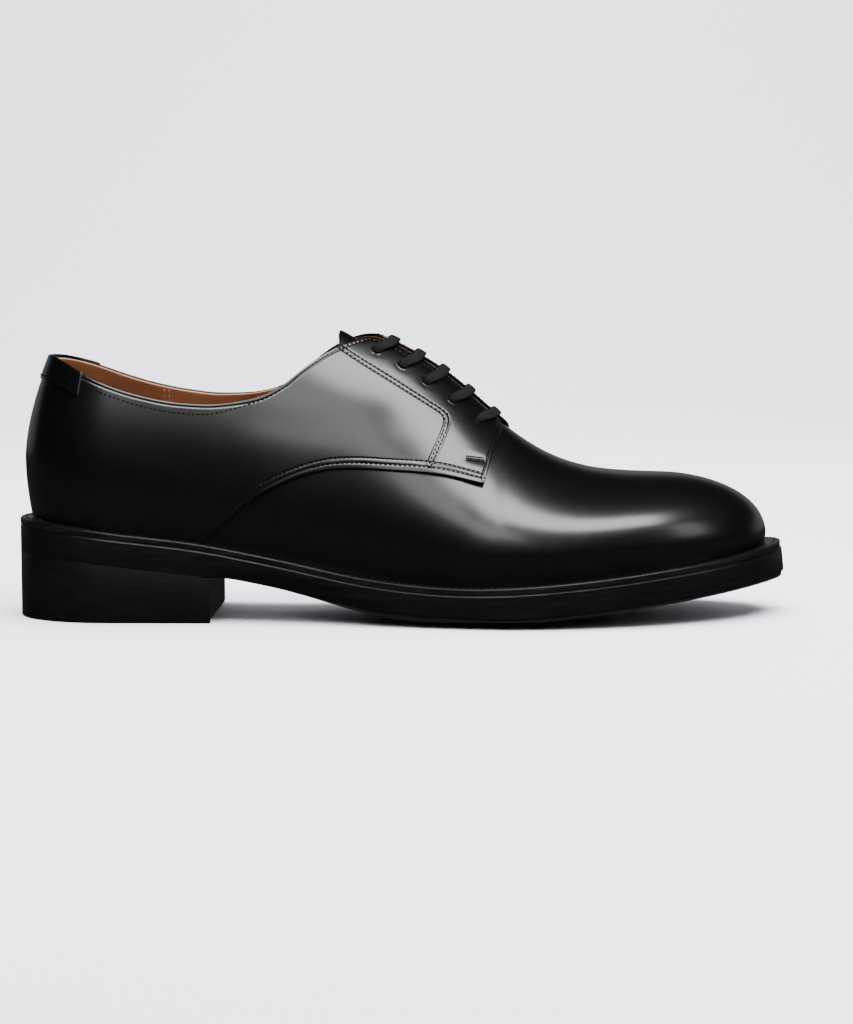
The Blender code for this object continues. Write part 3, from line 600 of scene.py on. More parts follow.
def threadFinish(name, colour):
    made, tree, shader = newMaterial(name, colour, 0.8, Specular_IOR_Level=0.1)
    bump(tree, shader, [(noise(tree, place(tree), 2500, 2), 0.03)])
    return made


blackCalf = calfLeather("blackCalf")
sewnCalf = calfLeather("sewnCalf", (("edgeSeam", 1.6), ("lowSeam", 1.0), ("stayLine", 1.0)))
tanLining = tanLeather("tanLining", (0.21, 0.078, 0.032), (0.12, 0.042, 0.017), 0.5)
rawEdge = tanLeather("rawEdge", (0.40, 0.22, 0.12), (0.27, 0.135, 0.07), 0.75)
inkedSole = edgePaint("inkedSole", (0.0016, 0.0015, 0.0015), 0.36, (1, 1, 22))
inkedHeel = edgePaint("inkedHeel", (0.0016, 0.0015, 0.0015), 0.38, (1, 1, 28))
inkedWelt = edgePaint("inkedWelt", (0.0024, 0.0023, 0.0023), 0.3, (1, 1, 10))
laceBraid = braid()
blackThread = threadFinish("blackThread", (0.002, 0.002, 0.0022))
tanThread = threadFinish("tanThread", (0.55, 0.33, 0.17))
print("materials made")


# Upper: panels off the last. Offsets are from the last, outwards.
upper = {
    "vampIn": 0.15, "vampOut": 1.6, "quarterIn": 1.5, "quarterOut": 2.9, "liningIn": 0.3,
    "liningOut": 1.45, "vampLiningIn": -0.5, "vampLiningOut": 0.1, "tabIn": 2.5, "tabOut": 3.6,
    "collarTurnX": 108.0, "collarTurnPower": 0.8, "facingTopX": 139.0,
    "facingEdgeOuter": 7.0, "facingEdgeInner": 1.0, "paintedShadeFromX": 122.0,
    "throatX": 184.5, "throatLean": 8.5, "throatCorner": 0.7, "throatRound": 4.0, "skewFade": 30.0,
    "seamFootX": 76.4, "lap": 9.0, "lapStartX": 74.0, "vampThroatX": 190.5, "rim": 0.4,
    "tabHalf": 25.0, "tabDeep": 9.4, "tabProud": 0.4, "tabRound": 15.0,
    "quarterFoot": 0.5, "vampFoot": 0.1, "crisp": 0.008, "vampCrisp": 0.012,
    "liningOver": -0.003, "liningLow": 0.04, "liningFront": 1.2,
}
eyelets = {"x": (142.2, 152.2, 161.6, 171.6, 181.8), "inFromEdge": 4.8, "drift": 0.12,
           "hole": 1.9, "sides": 20, "punch": (-2.0, 5.0)}


# Height over the foot line at which a wall that stands out this far clears it by the gap.
def footLevel(cut, gap, out):
    slope = 2 * cut["tuck"] / (cut["bulge"] - cut["footZ"])
    return gap + out * slope / math.hypot(1, slope)


# The girth of the collar's edge, which turns into the facing's edge at its top.
@lru_cache(maxsize=None)
def collarGirth(side, skewX, x):
    cut = section(side, skewX)
    gap = upper["facingEdge" + sideName(side)]
    if x >= upper["facingTopX"]:
        return girthWhere(cut, 0, gap)
    height = collarAt[sideName(side)]
    turnX = upper["collarTurnX"]
    if x <= turnX:
        return girthWhere(cut, 1, height(x))
    turn = section(side, skewed(side, turnX))
    wide = girth(turn, girthWhere(turn, 1, height(turnX)))[0]
    t = (upper["facingTopX"] - x) / (upper["facingTopX"] - turnX)
    return girthWhere(cut, 0, gap + (wide - gap) * t ** upper["collarTurnPower"])


# The section and the girth of a place on the quarter.
def quarterPlace(side, x, q):
    t = max((x - upper["facingTopX"]) / (upper["throatX"] - upper["facingTopX"]), 0)
    corner = max((q - upper["throatCorner"]) / (1 - upper["throatCorner"]), 0)
    here = x + upper["throatLean"] * q * t * t - upper["throatRound"] * corner ** 2 * t ** 6
    at = skewed(side, here)
    cut = section(side, at)
    foot = cut["footZ"] + footLevel(cut, upper["quarterFoot"], upper["quarterOut"])
    if here >= upper["seamFootX"]:
        foot = max(seamHeight(here), foot)
    low = girthWhere(cut, 1, foot)
    return at, low + (collarGirth(side, at, here) - low) * q


def quarterPoint(side, x, q):
    at, g = quarterPlace(side, x, q)
    return onLast(section(side, at), g)


def quarterLifted(side, x, q, offset):
    at, g = quarterPlace(side, x, q)
    return lifted(side, at, g, offset)[0]


def heelStations(count):
    turn = np.linspace(0, math.pi / 2, count)
    return [form["lastBack"] + (form["heelX"] - form["lastBack"]) * (1 - math.cos(a)) for a in turn]


# Even rows from 0 to 1 with one more close to each end, which keeps the cut edges crisp.
def rowsWithRims(count, edge):
    return [0.0, edge] + list(np.linspace(0, 1, count)[1:-1]) + [1 - edge, 1.0]


def quarterGrid(rows, topOver=0.0, lowIn=0.0, frontIn=0.0):
    front = upper["throatX"] - frontIn
    xs = heelStations(14) + list(np.arange(44.0, 182.0, 4.0)) + [front - upper["rim"], front]
    levels = [lowIn + (1 + topOver - lowIn) * q for q in rowsWithRims(rows, upper["crisp"])]
    grid = [[quarterPoint(outer, x, q) for q in levels] for x in xs[::-1]]
    grid += [[quarterPoint(inner, x, q) for q in levels] for x in xs[1:]]
    return grid


def vampPoint(side, x, q):
    fade = min(max((upper["vampThroatX"] - x) / upper["skewFade"], 0), 1)
    cut = section(side, x + (skewed(side, x) - x) * fade)
    low = girthWhere(cut, 1, cut["footZ"] + footLevel(cut, upper["vampFoot"], upper["vampOut"]))
    if x >= upper["vampThroatX"]:
        return onLast(cut, low + (1 - low) * q)
    rise = max((x - form["skewTo"]) / (upper["vampThroatX"] - form["skewTo"]), 0) ** 4
    lap = seamHeight(x) + upper["lap"]
    return onLast(cut, low + (girthWhere(cut, 1, lap + (cut["top"] - lap) * rise) - low) * q)


def vampGrid(rows):
    toe = [form["toeFan"] + (form["lastTip"] - form["toeFan"]) * math.sin(a)
           for a in np.linspace(0, math.pi / 2, 20)]
    xs = list(np.arange(upper["lapStartX"], 184.0, 5.0)) + [187.0, upper["vampThroatX"]]
    xs += [195.0, 199.5, 204.0, 209.0] + toe
    levels = [0.0, upper["vampCrisp"]] + list(np.linspace(0, 1, rows)[1:])
    grid = [[vampPoint(inner, x, q) for q in levels] for x in xs]
    grid += [[vampPoint(outer, x, q) for q in levels] for x in xs[-2::-1]]
    return grid


# Place and height of the tab's top edge, from the middle of the back at 0 to its end at 1.
def tabPlace(side, t):
    x = form["lastBack"] + (upper["tabHalf"] * t) ** 2 / (2 * upper["tabRound"])
    return x, collarAt[sideName(side)](x) + upper["tabProud"]


def tabGrid():
    parts = (0, 0.15, 0.3, 0.45, 0.6, 0.75, 0.88, 0.97, 1.0)
    grid = []
    for side, places in ((outer, parts[::-1]), (inner, parts[1:])):
        for part in places:
            x, top = tabPlace(side, part)
            cut = section(side, x)
            rows = [girthWhere(cut, 1, top - upper["tabDeep"] * q) for q in (1.0, 0.95, 0.7, 0.4, 0.1, 0.0)]
            grid.append([onLast(cut, g) for g in rows])
    return grid


def eyeletIn(x):
    return eyelets["inFromEdge"] + eyelets["drift"] * (x - eyelets["x"][0])


def eyeletR(side, x):
    return upper["facingEdge" + sideName(side)] + eyeletIn(x)


def eyelet(side, x):
    at = skewed(side, x)
    return at, girthWhere(section(side, at), 0, eyeletR(side, x))


def circle(centre, along, across, radius, angles):
    return [centre + radius * (along * math.cos(a) + across * math.sin(a)) for a in angles]


def eyeletPunches():
    points = []
    faces = []
    count = eyelets["sides"]
    angles = [2 * math.pi * i / count for i in range(count)]
    for side in (outer, inner):
        for x in eyelets["x"]:
            at, g = eyelet(side, x)
            low, normal, along = lifted(side, at, g, eyelets["punch"][0])
            high = lifted(side, at, g, eyelets["punch"][1])[0]
            across = np.cross(normal, along)
            start = len(points)
            for centre in (low, high):
                points += circle(centre, along, across, eyelets["hole"], angles)
            faces += tubeFaces(count, 2, start)
    punches = meshPiece("punches", points, faces, merge=False)
    turnOut(punches)
    return punches


def eyeletRings(offset, radius):
    rings = []
    for side in (outer, inner):
        for x in eyelets["x"]:
            at, g = eyelet(side, x)
            centre, normal, along = lifted(side, at, g, offset)
            across = np.cross(normal, along)
            rings.append(circle(centre, along, across, radius, np.linspace(0, 2 * math.pi, 13)))
    return rings


# Length of the quarter's section, from its lower edge to the collar or the facing's edge.
def heightOf(side, x):
    line = [quarterPoint(side, x, q) for q in np.linspace(0, 1, 9)]
    return float(sum(np.linalg.norm(b - a) for a, b in zip(line, line[1:])))


# Soft creases of the flexing vamp and of the quarter: ends as (x, height), depth and width.
creases = (
    {"side": outer, "ends": ((201.0, 58.0), (207.0, 44.0), (209.0, 33.0)), "depth": 0.07, "width": 4.5},
    {"side": outer, "ends": ((213.0, 55.0), (218.0, 45.0), (219.0, 34.0)), "depth": 0.05, "width": 4.5},
    {"side": inner, "ends": ((203.0, 58.0), (210.0, 45.0), (212.0, 33.0)), "depth": 0.09, "width": 4.5},
    {"side": inner, "ends": ((215.0, 54.0), (220.0, 45.0), (222.0, 34.0)), "depth": 0.06, "width": 4.5},
)
quarterCreases = (
    {"side": outer, "ends": ((98.0, 79.0), (114.0, 76.0), (132.0, 76.0), (146.0, 77.0)),
     "depth": 0.22, "width": 8.0},
    {"side": inner, "ends": ((100.0, 79.0), (114.0, 76.0), (132.0, 76.0), (144.0, 77.0)),
     "depth": 0.2, "width": 8.0},
    {"side": outer, "ends": ((60.0, 66.0), (74.0, 60.0), (88.0, 60.0)), "depth": 0.1, "width": 6.0},
    {"side": inner, "ends": ((60.0, 68.0), (74.0, 62.0), (88.0, 62.0)), "depth": 0.12, "width": 6.0},
)


# A line over the last through places given as x and height on the outer side.
def surfaceLine(side, ends, offset):
    line = []
    for x, z in dense(ends, 1.5):
        at = skewed(side, x)
        if side == outer:
            g = girthWhere(section(side, at), 1, z)
        else:
            cut = section(outer, x)
            g = girthWhere(section(side, at), 0, girth(cut, girthWhere(cut, 1, z))[0])
        line.append(lifted(side, at, g, offset)[0])
    return line


# Hollows round the eyelets, along the back seam and at the bar tacks: place, depth and width.
hollows = {
    "eyeletR": 2.3, "eyeletDepth": 0.14, "eyeletWidth": 1.0,
    "backFrom": -0.9, "backTo": 0.6, "backDepth": 0.3, "backWidth": 0.9,
    "tackEnds": ((178.0, 62.8), (183.2, 61.8)), "tackDepth": 0.35, "tackWidth": 1.7,
}


# A line over the quarter through places given as x and height on the outer side.
def quarterLine(side, ends, offset):
    line = []
    for x, z in dense(ends, 1.5):
        cut = section(outer, x)
        low = girthWhere(cut, 1, seamHeight(x))
        share = (girthWhere(cut, 1, z) - low) / (collarGirth(outer, x, x) - low)
        at = skewed(side, x)
        low = girthWhere(section(side, at), 1, seamHeight(x))
        g = low + (collarGirth(side, at, x) - low) * share
        line.append(lifted(side, at, g, offset)[0])
    return line


def makeUpper():
    punches = eyeletPunches()
    quarters = panel(
        "quarters", quarterGrid(15), upper["quarterIn"], upper["quarterOut"], [sewnCalf], holes=punches
    )
    grid = quarterGrid(12, upper["liningOver"], upper["liningLow"], upper["liningFront"])
    lining = panel(
        "quarterLining", grid, upper["liningIn"], upper["liningOut"], [tanLining, rawEdge], holes=punches
    )
    bpy.data.objects.remove(punches)
    # Painted shade: towards the throat, the lining's tan edge faces, which lie in shadow there, get the
    # matte black thread finish.
    lining.data.materials.append(blackThread)
    paintedShadeIndex = len(lining.data.materials) - 1
    for face in lining.data.polygons:
        if face.material_index == 1 and face.center.x > (upper["paintedShadeFromX"] - heelShift) * mm:
            face.material_index = paintedShadeIndex  # the edge along the facing is black
    vamp = panel("vamp", vampGrid(15), upper["vampIn"], upper["vampOut"], [blackCalf])
    vampLining = panel(
        "vampLining", vampGrid(11), upper["vampLiningIn"], upper["vampLiningOut"], [tanLining], levels=1
    )
    tab = panel("backTab", tabGrid(), upper["tabIn"], upper["tabOut"], [blackCalf])
    for fold in creases:
        line = surfaceLine(fold["side"], fold["ends"], upper["vampOut"])
        press(vamp, [line], fold["depth"], fold["width"])
    out = upper["quarterOut"]
    for fold in quarterCreases:
        line = quarterLine(fold["side"], fold["ends"], out)
        press(quarters, [line], fold["depth"], fold["width"])
    press(quarters, eyeletRings(out, hollows["eyeletR"]), hollows["eyeletDepth"], hollows["eyeletWidth"])
    levels = np.linspace(hollows["backFrom"], hollows["backTo"], 30)
    backSeam = [lifted(outer, form["lastBack"] + 0.01, g, out)[0] for g in levels]
    press(quarters, [backSeam], hollows["backDepth"], hollows["backWidth"])
    for side in (outer, inner):
        line = quarterLine(side, hollows["tackEnds"], out)
        press(quarters, [line], hollows["tackDepth"], hollows["tackWidth"])
    for piece in (quarters, vamp, tab):
        finished(piece, "upper")
    for piece in (lining, vampLining):
        finished(piece, "upper")
    print("upper made", len(quarters.data.polygons), len(vamp.data.polygons))
    return quarters


# Stitches follow lines on the leather, one small thread bead at each pitch.
stitches = {
    "pitch": 1.85, "length": 1.4, "thread": 0.64, "collarIn": 1.6, "facingMore": 0.1,
    "facingFromX": 120.0, "facingFade": 15.0,
    "seamRows": (2.0, 4.0), "frontIn": 1.6, "pairGap": 1.35, "pairDrop": 0.6, "sink": 0.1,
    "fine": 0.5, "proud": 0.02, "tabReach": 0.9, "tabUp": 1.4, "tabShort": 3.0,
    "tackEnds": ((177.6, 63.6), (183.8, 62.6)), "tackDrops": (0.0, 0.7, 1.4), "tackPitch": 0.8,
    "tackLength": 0.9, "liningX": 56.0, "liningApart": 1.0, "liningTop": 88.0, "liningPitch": 2.2,
    "liningLength": 1.7, "liningThread": 0.26,
}
eyestayEnds = ((129.5, 105.6), (168.0, 81.0), (170.0, 79.2), (170.6, 76.8), (169.8, 73.8), (164.5, 61.0))


# Geometry Nodes group: a row of edges turns into small thread beads.
def stitchTree():
    tree = bpy.data.node_groups.new("stitchRow", "GeometryNodeTree")
    face = tree.interface
    face.new_socket("Geometry", in_out="INPUT", socket_type="NodeSocketGeometry")
    for name in ("Pitch", "Length", "Thread"):
        face.new_socket(name, in_out="INPUT", socket_type="NodeSocketFloat")
    face.new_socket("Finish", in_out="INPUT", socket_type="NodeSocketMaterial")
    face.new_socket("Geometry", in_out="OUTPUT", socket_type="NodeSocketGeometry")
    start = newNode(tree, "NodeGroupInput", {}).outputs
    curve = newNode(tree, "GeometryNodeMeshToCurve", {"Mesh": start["Geometry"]})
    inputs = {"Curve": curve.outputs["Curve"], "Length": start["Pitch"]}
    even = newNode(tree, "GeometryNodeResampleCurve", inputs, mode="LENGTH")
    inputs = {"Vector": newNode(tree, "GeometryNodeInputTangent", {}).outputs["Tangent"]}
    turn = newNode(tree, "FunctionNodeAlignRotationToVector", inputs, axis="X")
    bead = newNode(tree, "GeometryNodeMeshUVSphere", {"Segments": 6, "Rings": 5, "Radius": 0.5})
    inputs = {"X": start["Length"], "Y": start["Thread"], "Z": start["Thread"]}
    size = newNode(tree, "ShaderNodeCombineXYZ", inputs)
    copies = newNode(tree, "GeometryNodeInstanceOnPoints", {
        "Points": even.outputs["Curve"], "Instance": bead.outputs["Mesh"],
        "Rotation": turn.outputs["Rotation"], "Scale": size.outputs["Vector"],
    })
    whole = newNode(tree, "GeometryNodeRealizeInstances", {"Geometry": copies.outputs["Instances"]})
    smooth = newNode(tree, "GeometryNodeSetShadeSmooth", {"Geometry": whole.outputs["Geometry"]})
    inputs = {"Geometry": smooth.outputs["Geometry"], "Material": start["Finish"]}
    paint = newNode(tree, "GeometryNodeSetMaterial", inputs)
    newNode(tree, "NodeGroupOutput", {"Geometry": paint.outputs["Geometry"]})
    return tree


stitchRow = stitchTree()


def sewn(name, lines, pitch, length, thread, finish):
    points = []
    edges = []
    for line in lines:
        line = dense(line, 0.7)
        edges += [(len(points) + i, len(points) + i + 1) for i in range(len(line) - 1)]
        points += [toFrame(p) for p in line]
    mesh = bpy.data.meshes.new(name)
    mesh.from_pydata(points, edges, [])
    piece = newObject(name, mesh)
    modifier = piece.modifiers.new("stitches", "NODES")
    modifier.node_group = stitchRow
    values = {"Pitch": pitch * mm, "Length": length * mm, "Thread": thread * mm, "Finish": finish}
    for item in stitchRow.interface.items_tree:
        if item.in_out == "INPUT" and item.name in values:
            modifier[item.identifier] = values[item.name]
    settle(piece, 80)
    return piece


# The row inside the collar and the facing's edge, and on down the front to the seam's rows.
def edgeRow(side, fromEdge, fromFront, offset):
    line = []
    frontX = upper["throatX"] - fromFront
    for x in heelStations(24) + list(np.arange(41.0, frontX, 1.5)) + [frontX]:
        blend = min(max((x - stitches["facingFromX"]) / stitches["facingFade"], 0), 1)
        gap = fromEdge * (1 + stitches["facingMore"] * blend)
        line.append(quarterLifted(side, x, 1 - gap / heightOf(side, x), offset))
    height = heightOf(side, frontX)
    low = stitches["seamRows"][0] / height
    for q in np.linspace(1 - gap / height, low, 16)[1:]:
        line.append(quarterLifted(side, frontX, q, offset))
    return line


def seamRow(side, up, fromX, offset):
    line = []
    for x in np.arange(fromX, upper["seamFootX"] + 1.0, -1.5):
        line.append(quarterLifted(side, x, up / heightOf(side, x), offset))
    return line


# Stores each point's distance in mm from a seam's line, for the groove's bump.
def markSeam(piece, name, lines, reach=4.0):
    tree = lineTree(lines, 0.3)
    values = np.full(len(piece.data.vertices), reach)
    for vertex in piece.data.vertices:
        values[vertex.index] = min(tree.find(vertex.co)[2] / mm, reach)
    attribute = piece.data.attributes.new(name, "FLOAT", "POINT")
    attribute.data.foreach_set("value", values)


def makeStitches(quarters):
    out = upper["quarterOut"] - stitches["sink"]
    rows = []
    frontX = upper["throatX"] - stitches["frontIn"]
    for side in (outer, inner):
        rows.append(edgeRow(side, stitches["collarIn"], stitches["frontIn"], out))
        rows += [seamRow(side, up, frontX, out) for up in stitches["seamRows"]]
        shifted = [(x - stitches["pairGap"], z - stitches["pairDrop"]) for x, z in eyestayEnds]
        rows += [quarterLine(side, ends, out) for ends in (eyestayEnds, shifted)]
    edges = [edgeRow(side, 0.0, 0.0, upper["quarterOut"]) for side in (outer, inner)]
    markSeam(quarters, "edgeSeam", edges)
    markSeam(quarters, "lowSeam", [seamRow(side, 3.0, frontX, out) for side in (outer, inner)])
    halfway = [(x - stitches["pairGap"] / 2, z - stitches["pairDrop"] / 2) for x, z in eyestayEnds]
    markSeam(quarters, "stayLine", [quarterLine(side, halfway, out) for side in (outer, inner)])
    sewing = sewn(
        "upperStitches", rows, stitches["pitch"], stitches["length"], stitches["thread"], blackThread
    )
    tabRows = []
    tabOut = upper["tabOut"] + stitches["proud"]
    for side in (outer, inner):
        line = []
        for t in np.linspace(0, stitches["tabReach"], 10):
            x, top = tabPlace(side, t)
            line.append((x, top - upper["tabDeep"] + stitches["tabUp"]))
        line.append((line[-1][0], line[-1][1] + upper["tabDeep"] - stitches["tabShort"]))
        tabRows.append([lifted(side, x, girthWhere(section(side, x), 1, z), tabOut)[0] for x, z in line])
    tabSewing = sewn(
        "tabStitches", tabRows, stitches["pitch"], stitches["length"], stitches["fine"], blackThread
    )
    tacks = []
    for side in (outer, inner):
        for drop in stitches["tackDrops"]:
            tacks.append(quarterLine(side, [(x, z - drop) for x, z in stitches["tackEnds"]], out))
    tackSewing = sewn(
        "barTacks", tacks, stitches["tackPitch"], stitches["tackLength"], stitches["fine"], blackThread
    )
    inside = []
    middle, apart = stitches["liningX"], stitches["liningApart"]
    top = girthWhere(section(inner, middle), 1, stitches["liningTop"])
    for x in (middle - apart, middle + apart):
        inside.append([
            lifted(inner, x, g, upper["liningIn"] - stitches["proud"])[0]
            for g in np.linspace(-0.4, top, 30)
        ])
    liningSewing = sewn(
        "liningStitches", inside, stitches["liningPitch"], stitches["liningLength"],
        stitches["liningThread"], tanThread,
    )
    for piece in (sewing, tabSewing, tackSewing):
        finished(piece, "upper")
    finished(liningSewing, "upper")
    print("stitches made", len(sewing.data.polygons))


# Tongue: black outside, tan lining under it.
tongueSizes = {"leather": 1.2, "thick": 2.0, "apart": 0.02, "across": 17}


def makeTongue():
    xs = [128.5, 129.2] + list(np.arange(131.5, 201.0, 3.8)) + [202.3, 203.0]
    grid = []
    for x in xs:
        half, drop = tongueAt["half"](x), tongueAt["drop"](x)
        row = []
        for part in np.linspace(1, -1, tongueSizes["across"]):
            side = outer if part < 0 else inner
            g = girthWhere(section(side, x), 0, max(abs(part) * half, 0.01))
            row.append(lifted(side, x, g, -drop)[0])
        grid.append(row)
    leather = panel("tongueLeather", grid, -tongueSizes["leather"], 0.0, [blackCalf])
    lining = panel(
        "tongueLining", grid, -tongueSizes["thick"], -tongueSizes["leather"] - tongueSizes["apart"],
        [tanLining, blackCalf],
    )
    finished(leather, "tongue")
    finished(lining, "tongue")
    print("tongue made")


# Lace: one flat braided strand, along the route of its solid. The rise beside each eyelet is given
# as the run from the hole, the height over the last and the width; the level part as shares of the
# run to the facing's edge.
lace = {"width": 4.5, "holeWidth": 3.3, "thick": 1.4, "under": -0.9, "swing": 4.5,
        "rise": ((0.9, 3.5, 3.6), (2.2, 3.75, 4.3)), "over": 3.7,
        "level": (0.62, 0.82, 1.02), "inHole": (0.6, 2.2), "endR": 18.0, "endBack": 3.0,
        "turnBack": 2.5, "turnWidth": 3.2, "step": 0.7, "sides": 12, "flatSide": 0.7, "flatTop": 0.8}


# Rows of x, y, z, the way of the ribbon's width, and its width.
def laceRoute():
    def stop(side, at, g, offset, width, hidden=False):
        p, normal, along = lifted(side, at, g, offset)
        way = np.cross(normal, along) if hidden else along
        return [*p, *way, width]

    def bar(x, start):
        halves = []
        heights = (lace["under"], *lace["inHole"])
        for side in (start, -start):
            at, g = eyelet(side, x)
            line = [stop(side, at, g, offset, lace["holeWidth"]) for offset in heights]
            span = eyeletR(outer, x) + eyeletR(inner, x)
            level = [(eyeletIn(x) * part, lace["over"], lace["width"]) for part in lace["level"]]
            for step, height, width in [*lace["rise"], *level]:
                part = step / span
                across = at + (skewed(-side, x) - at) * part + lace["swing"] * 4 * part * (1 - part)
                near = girthWhere(section(side, across), 0, eyeletR(side, x) - step)
                line.append(stop(side, across, near, height, width))
            halves.append(line)
        return halves[0] + halves[1][::-1]

    stops = []
    lowest = eyelets["x"][-1]
    for x in (eyelets["x"][0] - lace["endBack"], *eyelets["x"][1:4]):
        g = girthWhere(section(outer, x), 0, lace["endR"])
        stops.append(stop(outer, x, g, lace["under"], lace["width"], hidden=True))
    g = girthWhere(section(outer, lowest), 0, (lace["endR"] + eyeletR(outer, lowest)) / 2)
    at = lowest - lace["turnBack"]
    stops.append(stop(outer, at, g, lace["under"], lace["turnWidth"], hidden=True))
    side = outer
    for x in eyelets["x"][::-1]:
        stops += bar(x, side)
        side = -side
    return np.array(stops)


# Rows at even steps on a smooth curve through the route's stops.
def smoothed(points, step):
    points = [np.array(p, float) for p in points]
    padded = [2 * points[0] - points[1]] + points + [2 * points[-1] - points[-2]]
    fine = []
    for i in range(1, len(padded) - 2):
        a, b, c, d = padded[i - 1:i + 3]
        for t in np.linspace(0, 1, 12, endpoint=False):
            fine.append(0.5 * (2 * b + (c - a) * t + (2 * a - 5 * b + 4 * c - d) * t * t
                               + (3 * b - a - 3 * c + d) * t ** 3))
    fine.append(points[-1])
    fine = np.array(fine)
    length = np.concatenate([[0], np.cumsum(np.linalg.norm(np.diff(fine[:, :3], axis=0), axis=1))])
    even = np.linspace(0, length[-1], int(length[-1] / step))
    return np.stack([np.interp(even, length, fine[:, k]) for k in range(fine.shape[1])], axis=1), length[-1]


def makeLace():
    rows, length = smoothed(laceRoute(), lace["step"])
    count = lace["sides"]
    rings = []
    for k, row in enumerate(rows):
        ahead = rows[min(k + 1, len(rows) - 1), :3] - rows[max(k - 1, 0), :3]
        ahead /= np.linalg.norm(ahead)
        way = row[3:6] - ahead * np.dot(ahead, row[3:6])
        way /= np.linalg.norm(way)
        up = np.cross(ahead, way)
        half = row[6] / 2
        thick = lace["thick"] / 2 * (1 + 0.5 * (lace["width"] - row[6]) / lace["width"])
        ring = []
        for i in range(count):
            a = 2 * math.pi * i / count
            side = math.copysign(abs(math.cos(a)) ** lace["flatSide"], math.cos(a))
            rise = math.copysign(abs(math.sin(a)) ** lace["flatTop"], math.sin(a))
            ring.append(row[:3] + way * half * side + up * thick * rise)
        rings.append(ring)
    piece = loft("laceRibbon", rings, merge=False)
    layer = piece.data.uv_layers.new(name="ribbon")
    for loop in piece.data.loops:
        k, i = divmod(loop.vertex_index, count)
        layer.data[loop.index].uv = (abs((i / count * 2) % 2 - 1), k * lace["step"] / lace["width"])
    piece.data.materials.append(laceBraid)
    piece.data.shade_smooth()
    finished(piece, "lace")
    print("lace made, length in mm", round(float(length), 1))


# Sole, heel, welt and insole, from the same outlines with finer steps.
soleSizes = {
    "steps": (22, 60, 44), "weltThick": 2.6, "weltArris": 0.45, "weltUnder": 1.0, "groove": 0.35,
    "seat": 0.3, "shoulderPart": 0.84, "shoulderDrop": 0.3, "treadPart": 0.58, "heelHollow": 2.2,
    "heelTaper": 0.5, "flare": 1.6, "flareFrom": 255.0, "flareTop": 0.4, "heelArris": 0.5,
    "sockInset": 0.5, "sockProud": 1.3, "sockUnder": 2.0, "soleGap": 0.05, "heelGap": 0.03,
    "soleSoft": 0.3, "heelSoft": 0.25, "weltSoft": 0.22, "stitchIn": 2.3, "stitchProud": 0.02,
    "stitchPitch": 2.8, "stitchLength": 2.2, "stitchThread": 0.55,
}


def outlineOf(what, back, tip):
    xs = spaced(back, tip, *soleSizes["steps"])
    outerLine = [(x, planY(what, outer, x, back, tip)) for x in xs]
    innerLine = [(x, planY(what, inner, x, back, tip)) for x in xs]
    return np.array(outerLine + innerLine[-2:0:-1])


def insetLine(loop, amounts):
    ahead = np.roll(loop, -1, axis=0) - np.roll(loop, 1, axis=0)
    ahead /= np.linalg.norm(ahead, axis=1)[:, None]
    inward = np.stack([-ahead[:, 1], ahead[:, 0]], axis=1)
    return loop + inward * np.asarray(amounts)[:, None]


def pairsOf(loop):
    half = len(loop) // 2
    return [(loop[k], loop[-k % len(loop)]) for k in range(half + 1)]


def makeOutsole():
    loop = outlineOf("sole", form["soleBack"], form["soleTip"])
    xs = loop[:, 0]
    under = soleSizes["weltThick"] + soleSizes["soleGap"]
    groove = soleSizes["groove"]
    shelf = under + groove + soleSizes["seat"]
    lean = np.clip((xs - soleSizes["flareFrom"]) / (form["soleTip"] - soleSizes["flareFrom"]), 0, 1)
    flare = soleSizes["flare"] * lean ** 2
    levels = [
        (insetLine(loop, np.full(len(xs), groove)), lambda x: weltTop(x) - under),
        (insetLine(loop, np.full(len(xs), groove * 0.85)), lambda x: weltTop(x) - under - groove * 0.5),
        (insetLine(loop, -flare * soleSizes["flareTop"]), lambda x: weltTop(x) - shelf),
        (insetLine(loop, -flare), soleAt["edge"]),
        (insetLine(loop, [soleAt["bevel"](x) for x in xs] - flare), soleAt["rim"]),
    ]
    levelPairs = [(pairsOf(line), height) for line, height in levels]
    rings = []
    for k in range(len(levelPairs[0][0])):
        down = []
        up = []
        for line, height in levelPairs:
            a, b = line[k]
            down.append((a[0], a[1], height(a[0])))
            up.append((b[0], b[1], height(b[0])))
        a, b = np.array(down[-1]), np.array(up[-1])
        middle = (a[:2] + b[:2]) / 2
        rim, tread = soleAt["rim"](a[0]), soleAt["tread"](a[0])
        flatPart = []
        shoulder = (soleSizes["shoulderPart"], soleSizes["shoulderDrop"])
        for part, drop in (shoulder, (soleSizes["treadPart"], 1)):
            flat = middle + (a[:2] - middle) * part
            flatPart.append((flat[0], flat[1], rim + (tread - rim) * max(drop, 1 - part)))
        far = [(2 * middle[0] - p[0], 2 * middle[1] - p[1], p[2]) for p in flatPart]
        rings.append(down + flatPart + far[::-1] + up[::-1])
    piece = loft("outsoleBody", rings)
    piece.data.materials.append(inkedSole)
    softEdges(piece, soleSizes["soleSoft"])
    finished(piece, "outsole")


